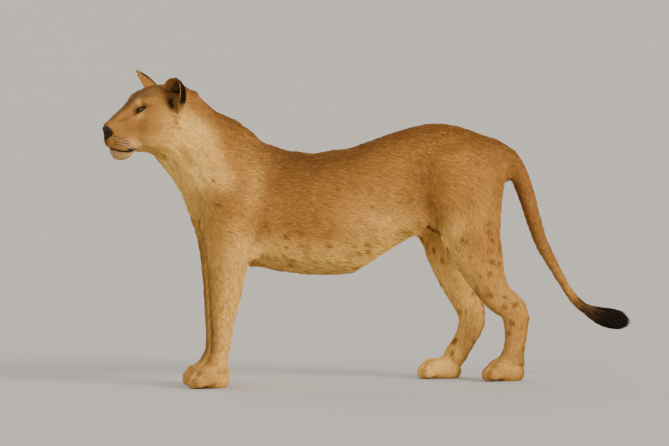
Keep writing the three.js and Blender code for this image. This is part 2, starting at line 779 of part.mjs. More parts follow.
// An opening between the lids: an almond, pushed out of the head from the middle of the eye.
function eyeSide(side) {
  const at = new THREE.Vector3(EYE_AT[0], EYE_AT[1] * side, EYE_AT[2]);
  const aim = new THREE.Vector3(EYE_AIM[0], EYE_AIM[1] * side, EYE_AIM[2]).normalize();
  const across = new THREE.Vector3(0.66, 0.5 * side, 0.46); // inner corner to outer corner
  across.addScaledVector(aim, -across.dot(aim)).normalize();
  const up = new THREE.Vector3().crossVectors(across, aim).multiplyScalar(-side);
  const place = new THREE.Matrix4().makeBasis(across.multiplyScalar(-side), up, aim).setPosition(at);
  const shape = new THREE.Shape();
  shape.moveTo(-21, 0);
  shape.quadraticCurveTo(-2, 12, 21, 1);
  shape.quadraticCurveTo(-2, -12, -21, 0);
  const slit = new THREE.ExtrudeGeometry(shape, { depth: 50, bevelEnabled: false, curveSegments: 6 });
  const ball = (radius) => solid(new THREE.SphereGeometry(radius, 14, 9).translate(at.x, at.y, at.z));
  return {
    lids: ball(EYE_RADIUS + LID),
    opening: ball(EYE_RADIUS + GAP).add(solid(slit.applyMatrix4(place))),
    eye: ball(EYE_RADIUS),
  };
}

// A cupped ear: closed loops from base to tip, out along the back and home along the inside.
function earCup(side, opens, lean, deep) {
  const base = new THREE.Vector3(EAR.base[0], EAR.base[1] * side, EAR.base[2]);
  const up = new THREE.Vector3(EAR.tip[0] - lean, EAR.tip[1] * side, EAR.tip[2]).sub(base);
  const length = up.length();
  up.normalize();
  const front = new THREE.Vector3(opens[0], opens[1] * side, opens[2]);
  front.addScaledVector(up, -front.dot(up)).normalize();
  const wide = new THREE.Vector3().crossVectors(up, front);
  const rows = [];
  const steps = 8;
  const across = 8;
  const sunk = -0.32; // the root goes into the head by this part of the ear's length
  for (let i = 0; i <= steps; i++) {
    const t = mix(sunk, 0.985, (i / steps) ** 0.85);
    const rounded = t < 0.42 ? 1 - 0.16 * ((0.42 - t) / 0.74) ** 1.4 : Math.sqrt(1 - ((t - 0.42) / 0.58) ** 2.4);
    const half = EAR.halfWidth * rounded;
    const cup = deep * (1 - 0.6 * clamp(t, 0, 1) ** 2) * rounded;
    const row = [];
    for (const [wall, way] of [
      [0, 1],
      [1, -1],
    ])
      for (let j = 0; j <= across; j++) {
        const u = way * (-1 + (2 * j) / across);
        const thick = wall * mix(EAR.rim, EAR.wall * (1.4 - t), 1 - u * u) * Math.max(rounded, 0.3);
        const curl = 1 + 0.12 * (1 - u * u);
        row.push(
          base
            .clone()
            .addScaledVector(up, t * length)
            .addScaledVector(wide, u * (half - wall * 1.2) * curl)
            .addScaledVector(front, -cup * (1 - u * u) + cup * 0.35 + thick),
        );
      }
    rows.push(row);
  }
  const centre = (row) => row.reduce((sum, p) => sum.add(p), new THREE.Vector3()).divideScalar(row.length);
  return solid(skin(rows, centre(rows[0]), centre(rows[steps])));
}

const inPlace = (made) => made.transform(headMatrix.elements);

let head = headSolid.subtract(acrossHead(jawOutline(0), 120)).subtract(noseBlock(0));
let nose = headSolid.intersect(noseBlock(GAP));
for (const [hand, side] of [
  ["left", -1],
  ["right", 1],
]) {
  const { lids, opening, eye } = eyeSide(side);
  head = head.add(lids).subtract(opening);
  nose = nose.subtract(nostril(side));
  add(`eye_${hand}`, inPlace(eye), amber());
  const ear = largest(earCup(side, EAR_OPENS[hand], EAR_LEAN[hand], EAR_CUP[hand]).subtract(grownHead));
  add(`ear_${hand}`, inPlace(ear), fur());
}
add("head", inPlace(largest(head)), fur());
add("lower_jaw", inPlace(largest(lowerJaw)), paleFur());
add("nose", inPlace(largest(nose)), noseSkin());

// The soles stand on z = 0, and the middle of the animal's length and width is over the origin.
const extent = new THREE.Box3().setFromObject(animal);
const middle = extent.getCenter(new THREE.Vector3());
animal.position.set(-middle.x, -middle.y, -extent.min.z);

const group = new THREE.Group();
group.add(animal);

export default group;
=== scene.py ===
import math

import bpy
import numpy as np
from mathutils import Matrix, Vector
from mathutils.bvhtree import BVHTree
from mathutils.kdtree import KDTree


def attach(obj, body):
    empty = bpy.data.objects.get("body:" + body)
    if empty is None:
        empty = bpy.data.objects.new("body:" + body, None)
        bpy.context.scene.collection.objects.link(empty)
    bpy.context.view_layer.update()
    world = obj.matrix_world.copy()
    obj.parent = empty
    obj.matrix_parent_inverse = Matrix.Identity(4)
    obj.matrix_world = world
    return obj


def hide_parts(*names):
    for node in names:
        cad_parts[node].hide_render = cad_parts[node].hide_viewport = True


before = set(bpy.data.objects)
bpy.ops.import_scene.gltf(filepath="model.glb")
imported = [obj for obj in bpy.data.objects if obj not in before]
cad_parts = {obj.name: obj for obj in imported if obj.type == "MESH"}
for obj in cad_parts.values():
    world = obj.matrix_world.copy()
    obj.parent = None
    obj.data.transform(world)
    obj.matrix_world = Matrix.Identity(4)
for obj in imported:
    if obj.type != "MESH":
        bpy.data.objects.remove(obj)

bl_info = {
    "name": "Standing lioness",
    "version": (1, 0, 0),
    "blender": (4, 5, 0),
    "location": "View3D > Sidebar > Lioness",
    "description": "Dresses the solid lioness with one skin, its coat, ears, eyes, nose, lips and whiskers",
    "category": "Object",
}

# The head's own frame, in millimetres: x runs backwards and z up, the tip of the nose is at x = -218, and the
# left side is at -y.
HEAD_FRAME = (
    Matrix.Translation((-0.797, -0.014, 1.014))
    @ Matrix.Rotation(math.radians(21), 4, "Z")
    @ Matrix.Rotation(math.radians(7), 4, "X")
)
# The right eye, which the left one mirrors: its centre, the way out of the head, the way along its opening.
EYE_AT = (-80, 37, 53)
EYE_AIM = (-0.72, 0.66, 0.2)
EYE_ALONG = (0.66, 0.5, 0.46)
EYE_HALF = 19.0  # half the length of its opening
EYE_REACH = 44  # how far from its centre the lids can lie
# The line of the mouth, from the front to its corner, as x and z.
LIP_LINE = [(-188, -97), (-174, -100), (-160, -103), (-146, -104.5), (-132, -105), (-120, -102.5)]
LIP_LINE += [(-110, -99), (-101, -94.5), (-95, -90)]
# The rows of whisker spots: height, x of the rear end and number of spots. They drop a little to the front.
WHISKER_ROWS = [(-47, -152, 7), (-57, -146, 8), (-67, -143, 8), (-77, -142, 7)]
ROW_LENGTH = 46
ROW_SLOPE = 0.10

# The middle lines of the tail, its tuft and the legs, in metres, from the body outwards.
TAIL_LINE = [(0.468, 0, 0.864), (0.522, -0.001, 0.855), (0.561, -0.003, 0.824), (0.594, -0.006, 0.770)]
TAIL_LINE += [(0.616, -0.010, 0.706), (0.640, -0.015, 0.618), (0.668, -0.021, 0.526), (0.707, -0.026, 0.446)]
TAIL_LINE += [(0.747, -0.029, 0.371), (0.783, -0.030, 0.315), (0.814, -0.031, 0.276), (0.841, -0.031, 0.255)]
TUFT_LINE = [(0.836, -0.031, 0.261), (0.884, -0.031, 0.237), (0.932, -0.030, 0.222), (0.967, -0.029, 0.213)]
TUFT_LINE += [(1.005, -0.028, 0.202)]
FORE_LINE = [(-0.50, 0.09, 0.78), (-0.54, 0.11, 0.58), (-0.548, 0.104, 0.409), (-0.564, 0.098, 0.257)]
FORE_LINE += [(-0.572, 0.097, 0.160), (-0.592, 0.099, 0.082)]
HIND_LEFT = [(0.35, -0.08, 0.80), (0.374, -0.10, 0.65), (0.387, -0.108, 0.562), (0.442, -0.112, 0.414)]
HIND_LEFT += [(0.50, -0.111, 0.312), (0.557, -0.109, 0.25), (0.553, -0.108, 0.138), (0.541, -0.108, 0.088)]
HIND_RIGHT = [(0.34, 0.08, 0.80), (0.346, 0.10, 0.65), (0.331, 0.108, 0.56), (0.356, 0.11, 0.402)]
HIND_RIGHT += [(0.40, 0.107, 0.29), (0.416, 0.106, 0.246), (0.379, 0.104, 0.136), (0.343, 0.104, 0.086)]

# The regions of the coat, and the one that each solid of flesh lies in.
TRUNK, HEAD, NECK, FORELEG, HINDLEG_LEFT, HINDLEG_RIGHT, TAIL, FOOT = range(8)
REGIONS = {"torso": TRUNK, "neck": NECK, "head": HEAD, "lower_jaw": HEAD, "tail": TAIL}
REGIONS |= {"foreleg_left": FORELEG, "foreleg_right": FORELEG}
REGIONS |= {"hindleg_left": HINDLEG_LEFT, "hindleg_right": HINDLEG_RIGHT}
REGIONS |= {paw + side: FOOT for paw in ("forepaw_", "hindpaw_") for side in ("left", "right")}
FLESH = [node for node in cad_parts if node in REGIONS]
COAT_NAMES = ["trunk", "head", "neck", "forelegs", "hindleg_left", "hindleg_right", "tail", "feet"]

# What differs from the trunk's coat: the density as a share, the depth of the skin below the solids, and
# the length, width and rise of a tuft, in metres.
LEG_COAT = {"density": 1.25, "depth": 0.0028, "length": 0.019, "width": 0.0022, "rise": 0.0022}
COATS = {
    HEAD: {"density": 3.0, "depth": 0.0018},
    NECK: {"density": 1.1, "length": 0.030},
    FORELEG: LEG_COAT,
    HINDLEG_LEFT: LEG_COAT,
    HINDLEG_RIGHT: LEG_COAT,
    TAIL: {"density": 1.7, "depth": 0.0028, "length": 0.018, "width": 0.0026, "rise": 0.0028},
    FOOT: {"density": 2.2, "depth": 0.0012, "length": 0.009, "width": 0.002, "rise": 0.0013},
}

MAP = "OFBake"  # the map that every unwrapped piece has
BLADE_PATCH = 0.003  # the share of the map's width that each tuft has for itself


# ---------- Sizes and colours a user may change ----------


class LionessCoat(bpy.types.PropertyGroup):
    """Depth, length, density and colours of the coat"""

    depth: bpy.props.FloatProperty(
        name="Coat depth",
        description="How far the hair stands off the skin on the trunk",
        default=0.0035,
        unit="LENGTH",
    )
    hair: bpy.props.FloatProperty(
        name="Hair length", description="Length of a tuft on the trunk", default=0.024, unit="LENGTH"
    )
    density: bpy.props.FloatProperty(
        name="Density", description="Tufts for a square metre of the trunk", default=36000, min=1000
    )
    gold: bpy.props.FloatVectorProperty(
        name="Gold", description="Flank and shoulder", subtype="COLOR", default=(0.40, 0.177, 0.039)
    )
    brown: bpy.props.FloatVectorProperty(
        name="Brown", description="Along the back", subtype="COLOR", default=(0.175, 0.069, 0.015)
    )
    cream: bpy.props.FloatVectorProperty(
        name="Cream",
        description="Throat, belly and inner legs",
        subtype="COLOR",
        default=(0.90, 0.50, 0.125),
    )
    black: bpy.props.FloatVectorProperty(
        name="Black",
        description="Backs of the ears, lips and tuft",
        subtype="COLOR",
        default=(0.009, 0.005, 0.003),
    )


class LionessFace(bpy.types.PropertyGroup):
    """Sizes of the eyes and whiskers, and the colours of iris and nose"""

    eye_radius: bpy.props.FloatProperty(
        name="Eye radius", description="Radius of each eyeball", default=0.0175, unit="LENGTH"
    )
    opening: bpy.props.FloatProperty(
        name="Opening", description="Half the height between the lids", default=0.0036, unit="LENGTH"
    )
    # the iris is darker than a lioness's amber one: painted shade of the lids
    iris: bpy.props.FloatVectorProperty(
        name="Iris", description="Colour of the iris", subtype="COLOR", default=(0.10, 0.048, 0.011)
    )
    leather: bpy.props.FloatVectorProperty(
        name="Nose leather",
        description="Colour of the nose",
        subtype="COLOR",
        default=(0.012, 0.007, 0.005),
    )
    whisker: bpy.props.FloatProperty(
        name="Whiskers", description="Length of the longest whisker", default=0.095, unit="LENGTH"
    )


class LionessStage(bpy.types.PropertyGroup):
    """The floor, the light and the lens"""

    floor: bpy.props.FloatVectorProperty(
        name="Floor", description="Colour of the floor", subtype="COLOR", default=(0.50, 0.485, 0.46)
    )
    light: bpy.props.FloatProperty(
        name="Light", description="Strength of the main light", default=3.2, min=0
    )
    lens: bpy.props.FloatProperty(
        name="Lens", description="Focal length in millimetres", default=600.0, min=1
    )


# ---------- Small helpers ----------


def deselect():
    """Leaves edit mode, with nothing selected."""
    if bpy.context.object and bpy.context.object.mode != "OBJECT":
        bpy.ops.object.mode_set(mode="OBJECT")
    bpy.ops.object.select_all(action="DESELECT")


def only(obj):
    """Selects one object and makes it active."""
    deselect()
    obj.select_set(True)
    bpy.context.view_layer.objects.active = obj


def edit_all(obj, operator, **settings):
    """Runs an operator of edit mode on the whole of an object."""
    only(obj)
    bpy.ops.object.mode_set(mode="EDIT")
    bpy.ops.mesh.select_all(action="SELECT")
    operator(**settings)
    bpy.ops.object.mode_set(mode="OBJECT")


def face_outwards(obj):
    """Turns the faces of a closed piece outwards."""
    edit_all(obj, bpy.ops.mesh.normals_make_consistent, inside=False)


def unwrap(obj, gap):
    """Unwraps a piece on to its map, with gaps between the patches, and shades it smooth."""
    edit_all(obj, bpy.ops.uv.smart_project, angle_limit=math.radians(66), island_margin=gap)
    obj.data.uv_layers.active.name = MAP
    bpy.ops.object.shade_smooth()


def apply(obj, kind, **settings):
    """Adds a modifier and applies it."""
    only(obj)
    modifier = obj.modifiers.new(kind.lower(), kind)
    for key, value in settings.items():
        setattr(modifier, key, value)
    bpy.ops.object.modifier_apply(modifier=modifier.name)


def join(objects):
    """Joins objects into the first of them."""
    only(objects[0])
    for obj in objects[1:]:
        obj.select_set(True)
    if len(objects) > 1:
        bpy.ops.object.join()
    return objects[0]


def joined_copy(nodes, name, puff):
    """One new object from copies of solids, each merged and puffed out a little so that they overlap."""
    copies = []
    for node in nodes:
        copy = bpy.data.objects.new(node + "_copy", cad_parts[node].data.copy())
        copy.data.materials.clear()
        bpy.context.collection.objects.link(copy)
        edit_all(copy, bpy.ops.mesh.remove_doubles, threshold=1e-5)
        apply(copy, "DISPLACE", strength=puff, mid_level=0)
        copies.append(copy)
    whole = join(copies)
    whole.name = name
    return whole


def places(mesh):
    """Where each point of a mesh is."""
    out = np.empty(len(mesh.vertices) * 3)
    mesh.vertices.foreach_get("co", out)
    return out.reshape(-1, 3)


def place(mesh, points):
    """Moves each point of a mesh to its new place."""
    mesh.vertices.foreach_set("co", np.ascontiguousarray(points, dtype=np.float32).ravel())
    mesh.update()


def normals(mesh):
    """The way the surface faces at each point of a mesh."""
    out = np.empty(len(mesh.vertices) * 3, np.float32)
    mesh.vertex_normals.foreach_get("vector", out)
    return out.reshape(-1, 3).astype(float)


def unit(v):
    """Directions with a length of 1."""
    return v / np.maximum(np.linalg.norm(v, axis=-1, keepdims=True), 1e-9)


def laid_on(way, n):
    """Directions laid down on a surface with the given normals."""
    return unit(way - n * (way * n).sum(1, keepdims=True))


def mirrored(points):
    """Points with the left side folded over on to the right one."""
    return np.stack([points[:, 0], np.abs(points[:, 1]), points[:, 2]], 1)


def step(low, high, x):
    """0 below low, 1 above high, smooth between; low may be the larger one."""
    t = np.clip((x - low) / (high - low), 0, 1)
    return t * t * (3 - 2 * t)


def bell(points, at, size):
    """1 at a place, falling off smoothly over the given size along each axis."""
    return np.exp(-(((points - np.array(at)) / np.array(size)) ** 2).sum(-1))


def ridge(distance, width):
    """1 on a line, falling off smoothly to both sides of it."""
    return np.exp(-((distance / width) ** 2))


def hashed(cell, seed):
    """A number between 0 and 1 for each cell of a grid, always the same one."""
    n = (cell[..., 0] * 73856093) ^ (cell[..., 1] * 19349663) ^ (cell[..., 2] * 83492791) ^ (seed * 7919)
    n = (n ^ (n >> 13)) * 1274126177 & 0xFFFFFFFF
    return ((n ^ (n >> 16)) & 0xFFFF) / 65535.0


def mottle(points, size, seed):
    """Smooth patches of the given size, between -1 and 1."""
    q = points / size
    cell = np.floor(q).astype(np.int64)
    f = q - cell
    f = f * f * (3 - 2 * f)
    out = np.zeros(len(points))
    for dx in (0, 1):
        for dy in (0, 1):
            for dz in (0, 1):
                w = 1.0
                for axis, d in enumerate((dx, dy, dz)):
                    w = w * (f[:, axis] if d else 1 - f[:, axis])
                out += w * hashed(cell + np.array((dx, dy, dz)), seed)
    return out * 2 - 1


def spotted(points, spacing, radius, seed):
    """Round spots, one to a cell of the given spacing, between 0 and 1."""
    q = points / spacing
    cell = np.floor(q).astype(np.int64)
    out = np.zeros(len(points))
    for shift in np.ndindex(3, 3, 3):
        c = cell + np.array(shift) - 1
        jitter = np.stack([hashed(c, seed + k) for k in range(3)], 1)
        size = radius * (0.55 + 0.75 * hashed(c, seed + 4))
        d = np.linalg.norm(points - (c + 0.15 + 0.7 * jitter) * spacing, axis=1)
        out = np.maximum(out, step(1.25, 0.55, d / size) * (hashed(c, seed + 5) < 0.8))
    return out


def to_head(points):
    """Points in the head's own frame, in millimetres."""
    m = np.array(HEAD_FRAME.inverted())
    return (points @ m[:3, :3].T + m[:3, 3]) * 1000


def from_head(points):
    """Points of the head's own frame, in metres and in the model's frame."""
    m = np.array(HEAD_FRAME)
    return (np.asarray(points, float) / 1000) @ m[:3, :3].T + m[:3, 3]


def turned(directions):
    """Directions of the head's own frame in the model's frame."""
    return np.asarray(directions, float) @ np.array(HEAD_FRAME)[:3, :3].T


def neighbours(mesh):
    """Both ends of every edge, both ways round, and the number of edges at each point."""
    edges = np.empty(len(mesh.edges) * 2, np.int32)
    mesh.edges.foreach_get("vertices", edges)
    edges = edges.reshape(-1, 2)
    a = np.concatenate([edges[:, 0], edges[:, 1]])
    b = np.concatenate([edges[:, 1], edges[:, 0]])
    count = np.maximum(np.bincount(a, minlength=len(mesh.vertices)), 1)
    return a, b, count


def averaged(values, links):
    """Each point's value replaced by the mean over its neighbours."""
    a, b, count = links
    columns = [np.bincount(a, values[b, k], len(count)) / count for k in range(values.shape[1])]
    return np.stack(columns, 1)


def smoothed(points, links, rounds, weight=1.0):
    """Evens a surface out without shrinking it."""
    weight = np.asarray(weight, float).reshape(-1, 1)
    for _ in range(rounds):
        for pull in (0.5, -0.52):
            points = points + pull * weight * (averaged(points, links) - points)
    return points


def subdivide_where(obj, mask):
    """Divides the faces whose corners are all in the mask."""
    only(obj)
    bpy.ops.object.mode_set(mode="EDIT")
    bpy.ops.mesh.select_mode(type="VERT")
    bpy.ops.mesh.select_all(action="DESELECT")
    bpy.ops.object.mode_set(mode="OBJECT")
    obj.data.vertices.foreach_set("select", mask)
    bpy.ops.object.mode_set(mode="EDIT")
    bpy.ops.mesh.select_mode(type="EDGE")
    bpy.ops.mesh.select_mode(type="FACE")
    bpy.ops.mesh.subdivide(number_cuts=1)
    bpy.ops.object.mode_set(mode="OBJECT")


def tree_of(obj):
    """A search tree over the faces of an object."""
    mesh = obj.data
    return BVHTree.FromPolygons([v.co for v in mesh.vertices], [p.vertices for p in mesh.polygons])


# For each kind of value kept at a mesh's points: its field, its width and its number type.
FIELDS = {
    "FLOAT_COLOR": ("color", 4, np.float32),
    "FLOAT_VECTOR": ("vector", 3, np.float32),
    "INT": ("value", 1, np.int32),
}


def write_attribute(mesh, name, kind, values):
    """Keeps a value for each point of a mesh under a name."""
    field, _, number = FIELDS[kind]
    attribute = mesh.attributes.new(name, kind, "POINT")
    attribute.data.foreach_set(field, np.ascontiguousarray(values, number).ravel())


def write_colours(mesh, name, colours):
    """Keeps a colour for each point of a mesh under a name."""
    write_attribute(mesh, name, "FLOAT_COLOR", np.c_[colours, np.ones(len(colours))])


def read_attribute(mesh, name):
    """The values that a mesh keeps under a name, one or one row for each point."""
    attribute = mesh.attributes[name]
    field, width, number = FIELDS[attribute.data_type]
    out = np.empty(len(mesh.vertices) * width, number)
    attribute.data.foreach_get(field, out)
    return out.reshape(-1, width).astype(float) if width > 1 else out


def mesh_from(name, points, faces):
    """A new object from points and triangles, as arrays."""
    mesh = bpy.data.meshes.new(name)
    faces = np.asarray(faces, np.int32)
    mesh.vertices.add(len(points))
    mesh.vertices.foreach_set("co", np.ascontiguousarray(points, np.float32).ravel())
    mesh.loops.add(faces.size)
    mesh.loops.foreach_set("vertex_index", faces.ravel())
    mesh.polygons.add(len(faces))
    mesh.polygons.foreach_set("loop_start", np.arange(0, faces.size, faces.shape[1], dtype=np.int32))
    mesh.update(calc_edges=True)
    mesh.validate()
    mesh.polygons.foreach_set("use_smooth", np.ones(len(mesh.polygons), bool))
    obj = bpy.data.objects.new(name, mesh)
    bpy.context.collection.objects.link(obj)
    return obj


def finish_piece(obj, material):
    """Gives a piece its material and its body."""
    obj.data.materials.clear()
    obj.data.materials.append(material)
    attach(obj, "root")


# ---------- Materials ----------


class Value:
    """A socket of a shader that takes part in sums."""

    def __init__(self, shader, socket):
        self.shader = shader
        self.socket = socket

    def _sum(self, operation, a, b):
        return self.shader.node("ShaderNodeMath", {"operation": operation}, {0: a, 1: b})

    def __add__(self, other):
        return self._sum("ADD", self, other)

    def __sub__(self, other):
        return self._sum("SUBTRACT", self, other)

    def __mul__(self, other):
        return self._sum("MULTIPLY", self, other)

    def __radd__(self, other):
        return self._sum("ADD", other, self)

    def __rsub__(self, other):
        return self._sum("SUBTRACT", other, self)

    def __rmul__(self, other):
        return self._sum("MULTIPLY", other, self)


class Shader:
    """A material with one Principled shader."""

    def __init__(self, name, **sockets):
        self.material = bpy.data.materials.new(name)
        self.material.use_nodes = True
        self.tree = self.material.node_tree
        self.surface = self.tree.nodes["Principled BSDF"]
        for key, value in sockets.items():
            self.surface.inputs[key.replace("_", " ")].default_value = value

    def node(self, kind, settings=None, inputs=None, output=0):
        made = self.tree.nodes.new(kind)
        for key, value in (settings or {}).items():
            if key == "stops":
                ramp = made.color_ramp
                while len(ramp.elements) < len(value):
                    ramp.elements.new(0.5)
                for element, (position, color) in zip(ramp.elements, value):
                    element.position = position
                    element.color = (*color, 1)
            else:
                setattr(made, key, value)
        for key, value in (inputs or {}).items():
            if isinstance(value, Value):
                self.tree.links.new(value.socket, made.inputs[key])
            else:
                made.inputs[key].default_value = value
        return Value(self, made.outputs[output])

    def feed(self, socket, value):
        self.tree.links.new(value.socket, self.surface.inputs[socket])

    def here(self):
        return self.node("ShaderNodeTexCoord", output="Object")

    def noise(self, vector, scale, detail=2.0, roughness=0.5):
        inputs = {"Vector": vector, "Scale": scale, "Detail": detail, "Roughness": roughness}
        return self.node("ShaderNodeTexNoise", None, inputs)

    def tinted(self, color, factor):
        """A colour made lighter or darker by a factor near 1."""
        grey = self.node("ShaderNodeCombineXYZ", None, {0: factor, 1: factor, 2: factor})
        return self.node("ShaderNodeVectorMath", {"operation": "MULTIPLY"}, {0: color, 1: grey})

    def between(self, factor, one, other):
        """A colour from one to another, by a factor that changes over the surface."""
        inputs = {0: factor, 6: (*one, 1), 7: (*other, 1)}
        return self.node("ShaderNodeMix", {"data_type": "RGBA"}, inputs, output=2)

    def bump(self, height, strength, distance):
        inputs = {"Height": height, "Strength": strength, "Distance": distance}
        self.feed("Normal", self.node("ShaderNodeBump", None, inputs))


def coat_material(name, streak, bump):
    """Hair whose colour is painted on the mesh, with streaks along the lie of the coat."""
    s = Shader(name, Roughness=0.8, Specular_IOR_Level=0.12)
    painted = s.node("ShaderNodeVertexColor", {"layer_name": "coat_colour"})
    here = s.here()
    lie = s.node("ShaderNodeAttribute", {"attribute_name": "lie"}, output="Vector")
    along = s.node("ShaderNodeVectorMath", {"operation": "DOT_PRODUCT"}, {0: here, 1: lie}, output="Value")
    drop = s.node("ShaderNodeVectorMath", {"operation": "SCALE"}, {0: lie, "Scale": along * 0.9})
    stretched = s.node("ShaderNodeVectorMath", {"operation": "SUBTRACT"}, {0: here, 1: drop})
    fine = s.noise(stretched, 420.0, 3.0, 0.6)
    broad = s.noise(here, 34.0, 3.0, 0.55)
    shade = 1.0 - streak / 2 + fine * streak + (broad - 0.5) * 0.34
    s.feed("Base Color", s.tinted(painted, shade))
    s.feed("Roughness", 0.62 + fine * 0.22)
    if bump:
        s.bump(fine, bump, 0.0015)
    return s.material


def eye_material(face):
    """A brown iris, darkened as painted shade of the lids, with a round pupil, a dark edge and a dark white
    of the eye.
    """
    s = Shader("eye", Roughness=0.2, Specular_IOR_Level=0.3, Coat_Weight=0.25, Coat_Roughness=0.06)
    uv = s.node("ShaderNodeUVMap", {"uv_map": "UVMap"})
    up = s.node("ShaderNodeSeparateXYZ", None, {0: uv}, output=1)
    ring = s.noise(s.node("ShaderNodeMapping", None, {"Vector": uv, "Scale": (60.0, 3.0, 1.0)}), 1.0, 3.0)
    iris = tuple(face.iris)
    stops = [
        (0.0, (0.05, 0.03, 0.02)),
        (0.735, (0.05, 0.03, 0.02)),
        (0.75, (0.02, 0.01, 0.005)),
        (0.79, iris),
        (0.90, tuple(1.3 * c for c in iris)),
        (0.925, (0.01, 0.006, 0.004)),
    ]
    base = s.node("ShaderNodeValToRGB", {"stops": stops}, {0: up})
    s.feed("Base Color", s.tinted(base, 0.7 + ring * 0.6))
    return s.material


def leather_material(face):
    """Nose leather: fine cells with a dull shine."""
    s = Shader("nose_leather", Specular_IOR_Level=0.22)
    here = s.here()
    edges = {"feature": "DISTANCE_TO_EDGE"}
    cells = s.node("ShaderNodeTexVoronoi", edges, {"Vector": here, "Scale": 620.0})
    broad = s.noise(here, 90.0)
    s.feed("Base Color", s.between(broad, face.leather, [2.6 * c for c in face.leather]))
    s.feed("Roughness", 0.36 + broad * 0.25)
    s.bump(cells, 0.55, 0.0006)
    return s.material


def lip_material(coat):
    """Lips: dark skin with fine wrinkles."""
    s = Shader("lip_skin", Roughness=0.5, Specular_IOR_Level=0.3)
    wrinkles = s.noise(s.here(), 260.0, 3.0)
    s.feed("Base Color", s.between(wrinkles, coat.black, [2.2 * c for c in coat.black]))
    s.bump(wrinkles, 0.4, 0.001)
    return s.material


def whisker_material():
    """Whiskers: pale hair, a little uneven."""
    s = Shader("whisker_hair", Roughness=0.4)
    shade = s.noise(s.here(), 60.0)
    s.feed("Base Color", s.between(shade, (0.75, 0.68, 0.55), (0.9, 0.85, 0.75)))
    return s.material


def floor_material(stage):
    """The floor: matt paint with faint broad patches."""
    s = Shader("floor_paint", Roughness=0.9)
    patches = s.noise(s.here(), 1.2)
    s.feed("Base Color", s.between(patches, stage.floor, [0.96 * c for c in stage.floor]))
    return s.material


# ---------- The coat's colours ----------


class Paint:
    """Colours of points, over which others are laid by a weight at every point."""

    def __init__(self, colours):
        self.colours = colours

    def blend(self, colour, weight):
        self.colours = self.colours * (1 - weight[:, None]) + np.array(colour) * weight[:, None]


def tones(coat):
    """The coat's own colours: gold, brown, cream and black."""
    return [np.array(colour) for colour in (coat.gold, coat.brown, coat.cream, coat.black)]


def whisker_spot(row, i):
    """Where one spot of a row of whisker spots lies, seen from the side, as x and z."""
    z, x, count = row
    across = ROW_LENGTH * i / (count - 1)
    return x - across, z - ROW_SLOPE * (ROW_LENGTH / 2 - across) - 1.5 * np.sin(i)


